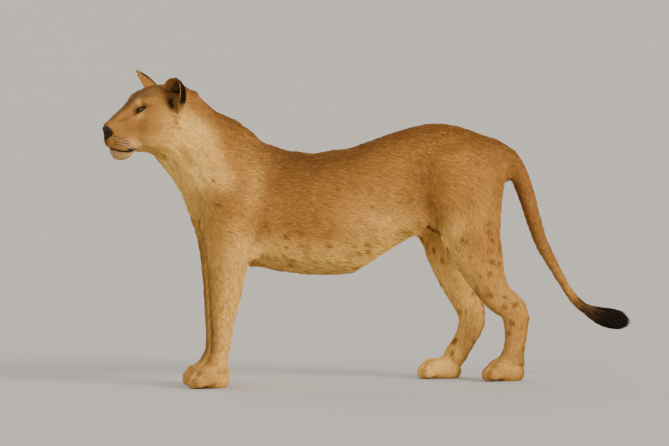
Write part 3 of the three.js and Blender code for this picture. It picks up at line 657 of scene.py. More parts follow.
def head_colours(p, n, base, coat, face):
    """Colours of the head, in its own frame, over those of the body."""
    gold, brown, cream, black = tones(coat)
    paint = Paint(base)
    blend = paint.blend
    x, y, z = p.T
    side = np.abs(y)
    q = mirrored(p)
    blend(cream, 0.62 * step(10, -70, z) * step(60, -60, x) * step(-160, -110, x))  # jaws
    blend(cream, 0.85 * bell(q, (8, 84, -24), (50, 60, 72)))  # cheek
    crease = ridge(x - np.interp(z, [-24, 17, 60, 116], [34, 18, 9, -33]), 4)
    crease = crease * step(-34, -16, z) * step(122, 100, z) * step(45, 60, side)
    blend(brown, 0.55 * crease)  # painted shade in the crease in front of the ruff
    blend(brown * (1.6, 1.35, 1.2), 0.5 * bell(q, (-104, 48, -14), (24, 30, 22)))  # in front of the cheek
    blend(brown * (0.9, 0.9, 1.0), 0.30 * bell(q, (-132, 30, 14), (34, 16, 10)))  # beside the bridge
    top = step(0.25, 0.85, n[:, 2]) * step(40, 80, z) * step(75, 45, side)
    blend(brown * (1.05, 1.25, 1.9), 0.7 * top)  # painted shade on the top of the forehead and crown
    bridge = step(24, 8, side) * step(-210, -180, x) * step(-30, -5, z)
    blend(brown * (0.9, 1.05, 1.5), 0.7 * bridge)  # painted shade along the top of the bridge of the nose
    blend(brown * (1.3, 1.4, 1.5), 0.45 * bell(q, (-150, 34, -38), (40, 30, 20)))  # side of the muzzle
    blend(gold * (1.5, 1.45, 1.3), 0.7 * bell(q, (-155, 36, -70), (40, 34, 30)))  # whisker pad
    stripe = ridge(z - 44 - 0.515 * (x + 104), 6) * step(-182, -168, x)
    stripe = stripe * step(-96, -106, x) * step(10, 18, side)
    blend(brown * 0.8, 0.5 * stripe)  # from the eye down to the nose
    blend((0.70, 0.47, 0.20), 0.75 * step(-98, -112, z) * step(-90, -125, x))  # chin
    blend(np.minimum(cream * 1.1, 1), 0.75 * bell(q, (-92, 52, 34), (17, 18, 10)))  # below the eye
    blend(cream, 0.6 * bell(q, (-100, 42, 86), (13, 18, 17)))  # pale patch above the eye, with a painted highlight on the brow
    blend(brown * 0.5, 0.75 * bell(q, (-104, 40, 44), (7, 9, 14)))  # inner corner
    blend(brown * 0.45, 0.5 * bell(q, (-58, 62, 66), (12, 14, 7)))  # outer corner
    on_pad = step(8, 16, side)
    for row in WHISKER_ROWS:
        height, rear, count = row
        line = ridge(z - height + ROW_SLOPE * (x - rear + ROW_LENGTH / 2), 1.7)
        line = line * step(rear + 6, rear - 2, x) * step(rear - 54, rear - 44, x)
        blend(brown * 0.3, 0.75 * line * on_pad)
        for i in range(count):
            spot = whisker_spot(row, i)
            d = np.hypot(x - spot[0], z - spot[1])
            blend(brown * 0.35, 0.8 * step(4.2, 1.6, d) * on_pad)
    blend(black * 1.6, 0.85 * bell(q, (-212, 0, -40), (13, 30, 34)) * step(-190, -204, x))  # round the nose
    for hand in (-1, 1):
        u, v, off, _, r = eye_map(p, hand, face)
        near = (r < EYE_REACH) & (y * hand > 0)
        tear = ridge(v + 1.5 + 0.16 * (u + EYE_HALF), 2.4) * step(-36, -28, u) * step(-14, -18, u)
        blend(brown * 0.5, 0.6 * near * step(10, 4, off) * (v > 0))  # painted shade of the brow over the upper lid
        blend(black, near * np.maximum(step(6.0, 3.6, off), 0.85 * tear))  # lids and the line of the tears
    blend(black, 0.92 * bell(q, (-196, 23, -34), (8, 12, 8)))  # wings of the nose
    under = step(3.4, 1.6, side) * step(-190, -200, x) * step(-50, -58, z) * step(-98, -92, z)
    blend(black, 0.95 * under)  # line from the nose down to the lips
    pit = np.minimum(1.6 * bell(q, (19, 84, 84), (14, 20, 22)), 0.95)
    blend(black * 1.8, pit * (y < 0))  # painted shade inside the opening of the left ear
    corner = np.minimum(1.6 * bell(p[:, (0, 2)], (-127, -94), (19, 7.5)), 0.97)
    blend(black, corner * step(20, 34, side))  # corners of the mouth
    blend(black, step(4.1, 2.8, np.abs(z - lip_height(p) - 0.5)) * step(-90, -97, x))  # lips
    return paint.colours


# Small dark scars of the left side: place and size.
SCARS = [((-0.124, -0.15, 0.782), (0.0022, 0.1, 0.014)), ((-0.130, -0.15, 0.748), (0.0025, 0.1, 0.008))]
SCARS += [((0.329, -0.14, 0.548), (0.009, 0.1, 0.003)), ((-0.585, -0.13, 0.703), (0.005, 0.1, 0.010))]
SCARS += [((-0.575, -0.13, 0.640), (0.006, 0.1, 0.0035)), ((-0.604, -0.13, 0.800), (0.003, 0.1, 0.016))]
SCARS += [((0.39, -0.16, 0.690), (0.003, 0.1, 0.003)), ((-0.545, -0.13, 0.600), (0.005, 0.1, 0.004))]


def behind_arm(x, z):
    """How far places lie behind the rear edge of the upper arm, in metres."""
    return x + 0.466 - 0.252 * (z - 0.597)


def coat_colours(points, n, region, coat, face):
    """The colour of the coat at points of the skin, from their place and the way they face."""
    gold, brown, cream, black = tones(coat)
    paint = Paint(np.tile(gold, (len(points), 1)))
    blend = paint.blend
    x, y, z = points.T
    side = np.abs(y)
    q = mirrored(points)
    trunk = step(0.30, 0.42, z) * step(-0.66, -0.58, x)
    leg = step(0.56, 0.40, z)
    inner = np.clip(-n[:, 1] * np.sign(y), 0, 1) * step(0.02, 0.05, side)
    belly = np.interp(x, [-0.6, -0.45, -0.2, 0.1, 0.25, 0.36], [0.55, 0.50, 0.44, 0.44, 0.49, 0.58])
    belly = step(0.14, 0.02, z - belly) * step(-0.62, -0.5, x) * step(0.42, 0.28, x)
    blend(brown, 0.85 * step(0.25, 0.95, n[:, 2]) * trunk)  # back
    blend(cream * 1.1, 0.78 * belly)
    blend(cream, 0.85 * step(-0.15, -0.75, n[:, 2]) * step(0.34, 0.40, z))  # all that faces down
    neck = step(-0.50, -0.66, x) * step(0.70, 0.80, z)
    blend(cream, 0.55 * neck * step(0.3, -0.4, n[:, 2]))  # throat
    blend(cream, 0.55 * step(-0.2, -0.8, n[:, 0]) * step(-0.45, -0.55, x) * step(0.4, 0.5, z))  # breast
    blend(cream, 0.30 * leg)
    blend(cream, 0.55 * leg * inner)
    blend(cream, 0.12 * step(0.12, 0.03, z))  # feet
    shank = step(0.35, 0.9, n[:, 0]) * step(0.34, 0.22, z) * step(0.3, 0.4, x)
    blend(brown, 0.45 * shank)  # rear of the shanks
    blend((0.46, 0.17, 0.05), 0.35 * bell(points, (-0.47, 0, 0.46), (0.03, 1, 0.05)))  # elbow
    neck = step(-0.54, -0.64, x + 0.35 * (z - 0.95)) * step(1.09, 1.0, z + 0.5 * (x + 0.66))
    blend(cream * 1.10, 0.9 * neck * step(0.72, 0.82, z))  # side of the neck: paler coat, and painted light
    blend(cream, 0.25 * bell(q, (-0.45, 0.12, 0.80), (0.06, 0.12, 0.14)))  # painted light on the shoulder blade
    blend(cream, 0.7 * bell(q, (0.05, 0.16, 0.60), (0.14, 0.12, 0.10)))  # rear flank: paler coat, and painted light
    blend(cream, 0.25 * bell(q, (0.43, 0.15, 0.66), (0.045, 0.1, 0.12)))  # painted light on the rear of the thigh
    blend(brown * (0.78, 0.8, 0.9), 0.92 * bell(q, (-0.25, 0.06, 0.885), (0.16, 0.16, 0.085)))  # saddle
    blend(brown, 0.3 * bell(q, (0.06, 0.08, 0.95), (0.16, 0.12, 0.06)))  # loin
    spine = step(0.06, 0.015, side) * step(-0.5, -0.4, x) * trunk
    blend(brown * (1.05, 1.1, 1.3), 0.5 * spine)
    # painted shade along the top of the nape
    nape = step(0.045, 0.012, side) * step(-0.82, -0.76, x) * step(-0.40, -0.48, x)
    blend(brown * (1.1, 1.0, 1.0), 0.75 * nape * step(0.1, 0.5, n[:, 2]) * step(0.8, 0.9, z))
    blend(brown, 0.34 * bell(q, (-0.30, 0.16, 0.76), (0.11, 0.12, 0.13)))  # painted shade behind the shoulder
    blend(brown * 0.9, 0.5 * bell(q, (0.185, 0.15, 0.78), (0.045, 0.12, 0.12)))  # painted shade in the hollow before the thigh
    # more painted shade lower down in the same hollow
    blend(brown, 0.35 * bell(q, (0.225, 0.15, 0.64), (0.03, 0.12, 0.08)))
    # painted shade on the flank just behind the upper arm, and painted light along the arm's rear edge
    rear = behind_arm(x, z)
    low = step(0.50, 0.58, z)
    blend(brown, 0.42 * ridge(rear - 0.034, 0.030) * low * step(0.94, 0.84, z) * trunk)
    blend(cream, 0.22 * ridge(rear + 0.030, 0.035) * low * step(0.90, 0.80, z) * trunk)
    # painted shade on the fronts of the forelegs, and painted light on their rear edges
    fore = ((region == FORELEG) | (region == FOOT)) * step(0.03, 0.12, z)
    blend(brown * 0.8, 0.5 * fore * step(0.55, 0.95, -n[:, 0]))
    blend(cream * 1.05, 0.55 * fore * step(-0.5, 0.3, n[:, 0]) * step(0.56, 0.46, z))
    patches = (1 + 0.10 * mottle(points, 0.11, 2) + 0.09 * mottle(points, 0.045, 3))[:, None]
    paint.colours = paint.colours * patches
    head = region == HEAD
    at = to_head(points[head])
    own = step(75, 15, at[:, 0])[:, None]
    plain = gold * (0.98, 1.02, 1.15) * patches[head]
    base = paint.colours[head] * (1 - own) + plain * own
    paint.colours[head] = head_colours(at, n[head], base, coat, face)
    tail = region == TAIL
    under = step(0.2, 0.9, -n[:, 0]) * step(0.78, 0.70, z) * step(0.55, 0.62, z)
    blend(brown * (1.5, 1.6, 2.2), 0.25 * tail)
    blend((0.40, 0.12, 0.04), 0.4 * tail * under)  # painted shade under its root
    blend(cream * 1.1, 0.6 * bell(points, (0.514, -0.02, 0.812), (0.014, 0.04, 0.024)))
    blend(black, tail * step(0.775, 0.83, x))  # end of the tail
    return np.clip(paint.colours, 0, 1)


def fine_marks(points, n, region, colours, coat):
    """Streaks, scars and the spots left from its youth, over the broad colours of the body."""
    _, brown, _, black = tones(coat)
    paint = Paint(colours)
    body = region != HEAD
    x, _, z = points.T
    streak = mottle(points * np.array((1.0, 1.0, 0.28)), 0.020, 21) * mottle(points, 0.10, 22)
    paint.blend(brown * 0.8, body * 0.4 * step(0.14, 0.40, streak) * step(-0.8, 0.2, -n[:, 2]))
    for at, size in SCARS:
        paint.blend(black, body * 0.85 * bell(points, at, size))
    spots = spotted(points + 0.006 * mottle(points, 0.02, 6)[:, None], 0.040, 0.012, 5)
    low = step(0.70, 0.56, z) * step(0.05, 0.10, z) * (0.25 + 0.75 * step(-0.45, -0.35, x))
    paint.blend(brown * (1.2, 1.05, 1.05), body * 0.8 * spots * low)
    return np.clip(paint.colours, 0, 1)


# ---------- Skin ----------


def by_region(region, key, trunk):
    """A value of the coat at each point: the trunk's, or that of its own region."""
    values = np.full(len(region), float(trunk))
    for number, own in COATS.items():
        if key in own:
            values[region == number] = own[key]
    return values


def nearest_node(points):
    """The region of the solid that each point lies nearest to."""
    stock, label = [], []
    for name in FLESH:
        at = places(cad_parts[name].data)
        stock.append(at)
        label += [REGIONS[name]] * len(at)
    stock = np.concatenate(stock)
    tree = KDTree(len(stock))
    for i, at in enumerate(stock):
        tree.insert(at, i)
    tree.balance()
    return np.array([label[tree.find(p)[1]] for p in points])


def along_line(points, line):
    """The way of the nearest stretch of a line, for each point."""
    line = np.array(line)
    best = np.full(len(points), 1e9)
    way = np.zeros((len(points), 3))
    for a, b in zip(line[:-1], line[1:]):
        run = b - a
        t = np.clip(((points - a) @ run) / (run @ run), 0, 1)
        d = np.linalg.norm(points - (a + t[:, None] * run), axis=1)
        near = d < best
        best[near] = d[near]
        way[near] = run / np.linalg.norm(run)
    return way


def coat_lie(points, n, region, links):
    """The way the hair lies on the skin."""
    way = np.tile((0.95, 0.0, -0.3), (len(points), 1))
    way[region == NECK] = (0.72, 0.0, -0.69)
    front = (n[:, 0] < -0.45) & (points[:, 2] < 0.98) & (region != HEAD)
    way[front] = (0.1, 0.0, -1.0)
    head = region == HEAD
    from_nose = to_head(points[head]) - np.array((-232, 0, -18))
    way[head] = turned(unit(from_nose * np.array((1, 1, 0.8))))
    for number, line in ((HINDLEG_LEFT, HIND_LEFT), (HINDLEG_RIGHT, HIND_RIGHT), (TAIL, TAIL_LINE)):
        way[region == number] = along_line(points[region == number], line)
    for hand in (-1, 1):
        leg = (region == FORELEG) & (points[:, 1] * hand > 0)
        way[leg] = along_line(points[leg], np.array(FORE_LINE) * (1, hand, 1))
    way[region == FOOT] = (-0.92, 0, -0.4)
    for _ in range(24):
        way = unit(averaged(way, links))
    return laid_on(way, n)


def eye_map(p, hand, face):
    """Where places of the head lie round one eye, in millimetres.

    Returns how far along its opening, over its middle line and off its edge they are, its centre, and how
    far from that they are.
    """
    radius, opening = face.eye_radius * 1000, face.opening * 1000
    centre = np.array(EYE_AT, float) * (1, hand, 1)
    aim = unit(np.array(EYE_AIM) * (1, hand, 1))
    along = np.array(EYE_ALONG) * (1, hand, 1)
    along = unit(along - aim * (along @ aim))
    over = np.cross(aim, along)
    over = over if over[2] > 0 else -over
    out = p - centre
    r = np.maximum(np.linalg.norm(out, axis=1), 1e-6)
    angle = np.arccos(np.clip((out @ aim) / r, -1, 1))
    a, b = out @ along, out @ over
    flat = np.maximum(np.hypot(a, b), 1e-6)
    u, v = a / flat * angle * radius, b / flat * angle * radius
    v = v - 1.4 * (u / 20) ** 3  # the outer corner sits a little higher
    lid = np.where(v > 0, opening * 1.15, opening * 0.8) * np.clip(1 - (u / EYE_HALF) ** 2, 0, 1) ** 0.65
    beside = np.hypot(np.abs(u) - EYE_HALF, v)
    off = np.where(np.abs(u) < EYE_HALF, (np.abs(v) - lid) * 0.92, beside)
    return u, v, off, centre, r


def from_eye(p):
    """How far points of the head lie from the centre of the eye on their side."""
    return np.linalg.norm(mirrored(p) - np.array(EYE_AT), axis=1)


def lip_height(p):
    """How high the line of the mouth runs at places of the head."""
    line = np.array([(-216, -90), (-202, -93)] + LIP_LINE)
    return np.interp(p[:, 0], line[:, 0], line[:, 1])


def facial_form(p):
    """How far the face's skin moves along its normal, in millimetres, in the head's frame."""
    x, y, z = p.T
    side = np.abs(y)
    q = mirrored(p)
    move = np.zeros(len(p))
    # the groove of the mouth, between a full upper lip and the lower one
    on = step(-88, -98, x)
    d = z - lip_height(p)
    move -= 3.8 * ridge(d, 3.2) * on
    move += 1.6 * ridge(d - 9, 6) * on
    move += 1.2 * ridge(d + 8, 5) * on
    # the chin falls back at the front and runs on behind
    move -= 9.0 * bell(q, (-198, 0, -128), (18, 40, 15))
    move += 7.0 * bell(q, (-120, 0, -121), (22, 30, 12))
    groove = 4.0 * ridge(side, 3.0) * step(-192, -206, x)
    move -= groove * step(-58, -66, z) * step(-96, -88, z)  # under the nose
    for row in WHISKER_ROWS:
        for i in range(row[2]):
            spot = whisker_spot(row, i)
            move += 0.5 * ridge(np.hypot(x - spot[0], z - spot[1]), 3.4) * step(8, 16, side)
    move -= 3.0 * bell(q, (-128, 36, -8), (30, 9, 8))  # furrow beside the nose
    move -= 3.5 * bell(q, (-96, 44, 28), (12, 14, 7))  # hollow below the eye
    move += 3.5 * bell(q, (-84, 48, 80), (20, 18, 9))  # brow
    move -= 2.5 * bell(q, (-64, 58, 70), (16, 12, 5))  # crease over the eye
    move += 2.0 * bell(q, (-104, 58, -30), (22, 24, 22))  # cheekbone
    move -= 2.0 * bell(q, (-62, 80, -64), (44, 30, 8))  # hollow below it
    move -= 12.0 * bell(q, (22, 84, 84), (15, 16, 18)) * (y < 0)  # open front of the left ear
    furrow = 2.2 * ridge(side, 7) * step(-120, -70, x)
    move -= furrow * step(30, -10, x) * step(40, 70, z)  # middle of the forehead
    return move


# Each hind leg's side, and its heel tendon and hock as x and z.
HOCKS = [(-1, (0.497, 0.365), (0.557, 0.285)), (1, (0.404, 0.345), (0.417, 0.27))]


def body_form(points):
    """How far the skin of the body moves along its normal, in metres: muscles, bones and folds."""
    x, y, z = points.T
    side = np.abs(y)
    q = mirrored(points)
    seen_from_side = points[:, (0, 2)]
    move = np.zeros(len(points))
    mm = 0.001
    # the shoulder blade and the upper arm, which end at a clear rear edge
    rear = behind_arm(x, z)
    arm = step(0.020, -0.012, rear) * step(-0.13, -0.03, rear) * step(0.40, 0.48, z) * step(0.90, 0.80, z)
    move += 8 * mm * arm * step(0.05, 0.09, side)
    move -= 6 * mm * bell(q, (-0.375, 0.14, 0.74), (0.030, 0.08, 0.15))  # behind it
    move -= 5 * mm * bell(q, (-0.42, 0.15, 0.53), (0.04, 0.08, 0.04))  # behind the elbow
    move += 5 * mm * bell(q, (-0.56, 0.15, 0.63), (0.035, 0.08, 0.07))  # point of the shoulder
    move += 10 * mm * bell(q, (-0.60, 0.07, 0.60), (0.05, 0.06, 0.07)) * step(-0.57, -0.59, x)  # breast
    move -= 5 * mm * bell(q, (-0.515, 0.15, 0.68), (0.016, 0.08, 0.09))  # before the upper arm
    # the valley of the flank in front of the thigh
    valley = x - 0.205 - 0.35 * np.maximum(0.70 - z, 0)
    tall = step(0.48, 0.56, z) * step(0.92, 0.82, z) * step(0.03, 0.07, side)
    move -= 16 * mm * ridge(valley, 0.044) * tall
    move += 8 * mm * ridge(valley - 0.09, 0.05) * tall
    move += 6 * mm * bell(q, (0.31, 0.12, 0.86), (0.05, 0.06, 0.04))  # hip bone
    move -= 5 * mm * bell(q, (0.445, 0.12, 0.62), (0.016, 0.08, 0.13))  # groove of the thigh
    move += 6 * mm * bell(q, (0.312, 0.12, 0.52), (0.03, 0.06, 0.04))  # knee
    # the hollow in front of each heel tendon, and the bones of the hock
    for hand, tendon, hock in HOCKS:
        shank = (y * hand > 0) * step(0.02, 0.05, side)
        move -= 6 * mm * shank * bell(seen_from_side, tendon, (0.013, 0.05))
        move += 4 * mm * shank * bell(seen_from_side, hock, (0.022, 0.03))
    move += 3.5 * mm * bell(q, (-0.575, 0.1, 0.165), (0.045, 0.07, 0.028))  # wrist
    move -= 3 * mm * bell(q, (-0.545, 0.13, 0.29), (0.010, 0.05, 0.11))  # groove down the forearm
    ribs = 1.3 * mm * np.sin((x + 0.35 * z) * 2 * np.pi / 0.062)
    ribs = ribs * step(0.56, 0.64, z) * step(0.84, 0.76, z)
    move += ribs * step(-0.32, -0.24, x) * step(0.10, 0.02, x)
    folds = np.sin((0.85 * x + 0.55 * z + 0.012 * mottle(points, 0.09, 8)) * 2 * np.pi / 0.047)
    on_neck = step(-0.42, -0.52, x) * step(0.68, 0.78, z) * step(-0.76, -0.70, x) * step(0.02, 0.06, side)
    move += 1.6 * mm * folds * on_neck * (0.5 + 0.5 * mottle(points, 0.13, 9))
    move += 1.3 * mm * mottle(points, 0.05, 12) + 0.5 * mm * mottle(points, 0.022, 13)
    return move


# Each foot's place as x and y, its size and its turn in degrees.
FEET = [(-0.617, -0.1, 1.14, 6), (-0.617, 0.1, 1.14, -6), (0.505, -0.108, 1.06, 4), (0.281, 0.104, 1.06, -4)]


def foot_form(points, n):
    """How far the skin of the feet moves along its normal, in metres: toe gaps and a full heel."""
    move = np.zeros(len(points))
    for x, y, size, turn in FEET:
        c, s = math.cos(math.radians(turn)), math.sin(math.radians(turn))
        d = (points - (x, y, 0)) * 1000 / size
        lx, ly, lz = d[:, 0] * c + d[:, 1] * s, d[:, 1] * c - d[:, 0] * s, d[:, 2]
        own = np.stack([lx, ly, lz], 1)
        here = (np.abs(lx) < 110) & (np.abs(ly) < 80) & (lz < 130)
        toes = step(-2, -22, lx) * step(66, 44, lz) * here
        for across, fan in ((0.0, 0.0), (26.0, 0.12), (-26.0, -0.12)):
            move -= 0.0062 * ridge(ly - across - fan * (-lx - 30), 3.6) * toes
        knuckles = ridge(lx + 40 - 0.12 * np.abs(ly), 5)
        move -= 0.0022 * knuckles * step(30, 40, lz) * toes  # across the toes, behind their first joints
        move += 0.005 * (bell(own, (62, 0, 66), (26, 44, 24)) * np.clip(n[:, 0], 0, 1) * here)
        move += 0.011 * (bell(own, (66, 0, 54), (30, 44, 15)) * step(-0.2, 0.4, n[:, 0]) * here)
    return move


def rough_skin():
    """All the flesh as one closed surface, and the solids that it was made from."""
    solids = joined_copy(FLESH, "solids", 0.0012)
    # the end of the tail runs on into its tuft
    bpy.ops.mesh.primitive_cone_add(vertices=20, radius1=0.0135, radius2=0.004, depth=0.12)
    stump = bpy.context.object
    root, end = Vector(TUFT_LINE[0]), Vector(TUFT_LINE[2])
    turn = (end - root).to_track_quat("Z", "Y").to_matrix().to_4x4()
    stump.data.transform(Matrix.Translation(root.lerp(end, 0.42)) @ turn)
    join([solids, stump])
    skin = bpy.data.objects.new("skin", solids.data.copy())
    bpy.context.collection.objects.link(skin)
    apply(skin, "REMESH", mode="VOXEL", voxel_size=0.0088)
    place(skin.data, smoothed(places(skin.data), neighbours(skin.data), 14))
    return skin, solids


def fit_to_solids(skin, solids):
    """Divides the skin of the head and the feet, and lays it on the solids again."""
    mesh = skin.data
    at = places(mesh)
    head = to_head(at)
    fine = ((head[:, 0] < 92) & (at[:, 0] < -0.66) & (at[:, 2] > 0.85)) | (at[:, 2] < 0.085)
    subdivide_where(skin, fine)
    tree = tree_of(solids)
    at = places(mesh)
    head = to_head(at)
    near = step(92, 60, head[:, 0]) * step(-0.655, -0.68, at[:, 0]) * step(0.85, 0.87, at[:, 2])
    near = np.maximum(near, step(0.112, 0.078, at[:, 2]))
    for i in np.flatnonzero(near > 0.01):
        at[i] += (np.array(tree.find_nearest(at[i])[0]) - at[i]) * near[i]
    links = neighbours(mesh)
    at = smoothed(at, links, 8, 0.5 + 0.5 * near)
    # the step from the legs to the feet is evened out
    ankle = (step(0.050, 0.075, at[:, 2]) * step(0.150, 0.110, at[:, 2]))[:, None]
    for _ in range(22):
        at += 0.5 * ankle * (averaged(at, links) - at)
    place(mesh, at)
    place(mesh, at + normals(mesh) * ankle * 0.005)


def refine_face(skin, face):
    """Divides the skin once more round the mouth and at the nose, and up to three times round the eyes."""
    head = to_head(places(skin.data))
    x, _, z = head.T
    mouth = (x < -92) & (z < -30) & (z > -125)
    subdivide_where(skin, ((from_eye(head) < 38) | mouth | (x < -176)) & (x < 0))
    head = to_head(places(skin.data))
    subdivide_where(skin, from_eye(head) < 31)
    head = to_head(places(skin.data))
    left, right = (np.abs(eye_map(head, hand, face)[2]) < 4.5 for hand in (-1, 1))
    subdivide_where(skin, (left | right) & (from_eye(head) < 34))


def shape_lids(at, on_face, face):
    """Moves the skin round each eye: a rim just off the eyeball, rolling out, and a hollow behind it."""
    radius = face.eye_radius * 1000
    for hand in (-1, 1):
        head = to_head(at)
        _, _, off, centre, r = eye_map(head, hand, face)
        outside = (head - centre) @ unit(np.array(EYE_AIM) * (1, hand, 1)) > 0
        part = on_face & (off < 14) & (r < EYE_REACH) & outside
        rim = radius + np.interp(off, [0, 1.0, 2.6, 5.0, 7.0, 9.0], [0.7, 1.9, 2.5, 2.9, 2.2, 2.6])
        blend = step(4.5, 13.5, off)
        wanted = rim * (1 - blend) + np.maximum(r, rim) * blend
        hollow = radius - 4.0 * step(0, -0.7, off) + 0.7 * step(-0.7, 0, off)
        wanted = np.where(off < 0, hollow, wanted)
        out = (head - centre) / r[:, None]
        head[part] = (centre + out * wanted[:, None])[part]
        at[part] = from_head(head[part])


class LIONESS_OT_skin(bpy.types.Operator):
    """One skin over the whole body, in place of the flesh solids"""

    bl_idname = "lioness.skin"
    bl_label = "Skin"

    def execute(self, context):
        coat = context.scene.lioness_coat
        face = context.scene.lioness_face
        skin, solids = rough_skin()
        fit_to_solids(skin, solids)
        bpy.data.objects.remove(solids)
        refine_face(skin, face)
        mesh = skin.data
        links = neighbours(mesh)
        at = smoothed(places(mesh), links, 2)
        place(mesh, at)
        n = normals(mesh)
        region = nearest_node(at)
        depth = averaged(by_region(region, "depth", coat.depth)[:, None], links)[:, 0]
        share = (region == HEAD).astype(float)[:, None]
        for _ in range(5):
            share = averaged(share, links)
        share = share[:, 0]
        calm = 0.3 + 0.7 * step(0.06, 0.12, at[:, 2])
        move = body_form(at) * calm * (1 - share) + facial_form(to_head(at)) * 0.001 * share
        move += foot_form(at, n)
        at = at + n * (move - depth)[:, None]
        at[:, 2] = np.maximum(at[:, 2], 0.0012)
        shape_lids(at, region == HEAD, face)
        place(mesh, at)
        n = normals(mesh)
        write_attribute(mesh, "lie", "FLOAT_VECTOR", coat_lie(at, n, region, links))
        colours = coat_colours(at, n, region, coat, face)
        write_colours(mesh, "broad_colour", colours)
        write_colours(mesh, "coat_colour", fine_marks(at, n, region, colours, coat))
        write_attribute(mesh, "region", "INT", region)
        unwrap(skin, 0.001)
        finish_piece(skin, coat_material("short_coat", 0.5, 0.6))
        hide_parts(*FLESH)
        return {"FINISHED"}


# ---------- Ears ----------

# For each ear, the way its cup opens, and how far towards it the surface faces where the black back ends.
EAR_OPENS = {"ear_left": (-0.975, -0.225, 0), "ear_right": (-0.92, 0.38, 0)}
EAR_BACK = {"ear_left": (0.06, -0.2), "ear_right": (-0.28, -0.5)}
LEFT_EAR_BASE = (38, -74, 84)


def ear_look(name, at, n, coat):
    """Colours and lie of an ear: gold at its root, black behind, painted shade in its hollow and a pale rim
    in front.
    """
    gold, _, cream, black = tones(coat)
    opens = unit(turned(np.array(EAR_OPENS[name])))
    facing = n @ opens
    height = to_head(at)[:, 2]
    up = (height - height.min()) / np.ptp(height)
    back = step(*EAR_BACK[name], facing)
    if name == "ear_right":
        back = back * step(-0.62, -0.40, n[:, 1])  # the side towards the crown stays gold
    paint = Paint(np.tile(gold, (len(at), 1)))
    paint.blend(black, back)
    centre = (at - at.mean(0)) @ opens
    # painted shade inside the cup, where it lies deep
    hollow = step(0.1, 0.5, facing) * step(0.010, -0.002, centre) * step(0.97, 0.78, up)
    paint.blend(black * 1.6, 0.93 * hollow)
    paint.blend(cream, 0.5 * step(0.5, 0.9, facing) * step(0.012, 0.02, centre))
    paint.blend(gold, step(0.34, 0.14, up) * back)
    return paint.colours, laid_on(turned((0.1, 0.1, 1.0)), n)


class LIONESS_OT_ears(bpy.types.Operator):
    """Both ears, as thin cups with their roots in the head"""

    bl_idname = "lioness.ears"
    bl_label = "Ears"

    def execute(self, context):
        coat = context.scene.lioness_coat
        for name in EAR_OPENS:
            ear = joined_copy([name], name + "_cup", 0.0006)
            apply(ear, "REMESH", mode="VOXEL", voxel_size=0.0021)
            mesh = ear.data
            if name == "ear_left":
                # set a little back, and turned round its base
                base = HEAD_FRAME @ Matrix.Translation(Vector(LEFT_EAR_BASE) / 1000)
                back = Matrix.Translation((0.006, 0, 0)) @ base
                mesh.transform(back @ Matrix.Rotation(math.radians(5), 4, "Z") @ base.inverted())
            at = smoothed(places(mesh), neighbours(mesh), 8)
            place(mesh, at)
            n = normals(mesh)
            at = at - n * 0.0008
            place(mesh, at)
            colours, lie = ear_look(name, at, n, coat)
            write_colours(mesh, "coat_colour", colours)
            write_attribute(mesh, "lie", "FLOAT_VECTOR", lie)
            unwrap(ear, 0.002)
            finish_piece(ear, bpy.data.materials["short_coat"])
            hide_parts(name)
        return {"FINISHED"}


# ---------- Eyes ----------


class LIONESS_OT_eyes(bpy.types.Operator):
    """Both eyeballs, with the bulge of the cornea"""

    bl_idname = "lioness.eyes"
    bl_label = "Eyes"

    def execute(self, context):
        face = context.scene.lioness_face
        material = eye_material(face)
        for hand, side in ((-1, "left"), (1, "right")):
            deselect()
            bpy.ops.mesh.primitive_uv_sphere_add(segments=40, ring_count=32, radius=face.eye_radius)
            ball = context.object
            ball.name = "eyeball_" + side
            at = places(ball.data)
            cornea = step(0.78, 0.95, at[:, 2] / face.eye_radius)
            place(ball.data, at * (1 + 0.05 * cornea)[:, None])
            gaze = Vector(turned((-0.86, 0.50 * hand, 0.02)))
            turn = gaze.to_track_quat("Z", "Y").to_matrix().to_4x4()
            centre = Vector(from_head(np.array(EYE_AT) * (1, hand, 1)))
            ball.data.transform(Matrix.Translation(centre) @ turn)
            bpy.ops.object.shade_smooth()
            finish_piece(ball, material)
            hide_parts("eye_" + side)
        return {"FINISHED"}


# ---------- Nose and lips ----------


class LIONESS_OT_nose(bpy.types.Operator):
    """The nose leather with its nostrils"""

    bl_idname = "lioness.nose"
    bl_label = "Nose"

    def execute(self, context):
        nose = joined_copy(["nose"], "nose_leather", 0.0005)
        apply(nose, "REMESH", mode="VOXEL", voxel_size=0.0011)
        place(nose.data, smoothed(places(nose.data), neighbours(nose.data), 5))
        only(nose)
        bpy.ops.object.shade_smooth()
        finish_piece(nose, leather_material(context.scene.lioness_face))
        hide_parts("nose")
        return {"FINISHED"}


def tube(rows):
    """Points and faces of a tube through rings of points, with each end drawn in to one point."""
    count, sides = len(rows), len(rows[0])
    points = np.concatenate([*rows, [rows[0].mean(0)], [rows[-1].mean(0)]])
    faces = []
    for i in range(count - 1):
        for j in range(sides):
            k = (j + 1) % sides
            faces.append((i * sides + j, i * sides + k, (i + 1) * sides + k))
            faces.append((i * sides + j, (i + 1) * sides + k, (i + 1) * sides + j))
    for j in range(sides):
        k = (j + 1) % sides
        faces.append((count * sides, k, j))
        faces.append((count * sides + 1, (count - 1) * sides + j, (count - 1) * sides + k))
    return points, np.array(faces)


def sweep(path, across, width, height, sides=8):
    """Oval rings along a path; across is the way of their width, and width and height are half sizes."""
    path = np.asarray(path, float)
    along = unit(np.gradient(path, axis=0))
    rows = []
    for p, t, a, w, h in zip(path, along, across, width, height):
        a = unit(a - t * (a @ t))
        up = np.cross(t, a)
        angle = np.arange(sides) * 2 * np.pi / sides
        rows.append(p + np.outer(np.cos(angle) * w, a) + np.outer(np.sin(angle) * h, up))
    return rows


def skin_tree(context):
    """A search tree over the finished skin."""
    return BVHTree.FromObject(bpy.data.objects["skin"], context.evaluated_depsgraph_get())


def on_skin(tree, start, way):
    """Where a line from a place of the head's frame meets the skin, or None."""
    hit = tree.ray_cast(Vector(from_head(start)), Vector(turned(way)))[0]
    return None if hit is None else to_head(np.array([hit]))[0]


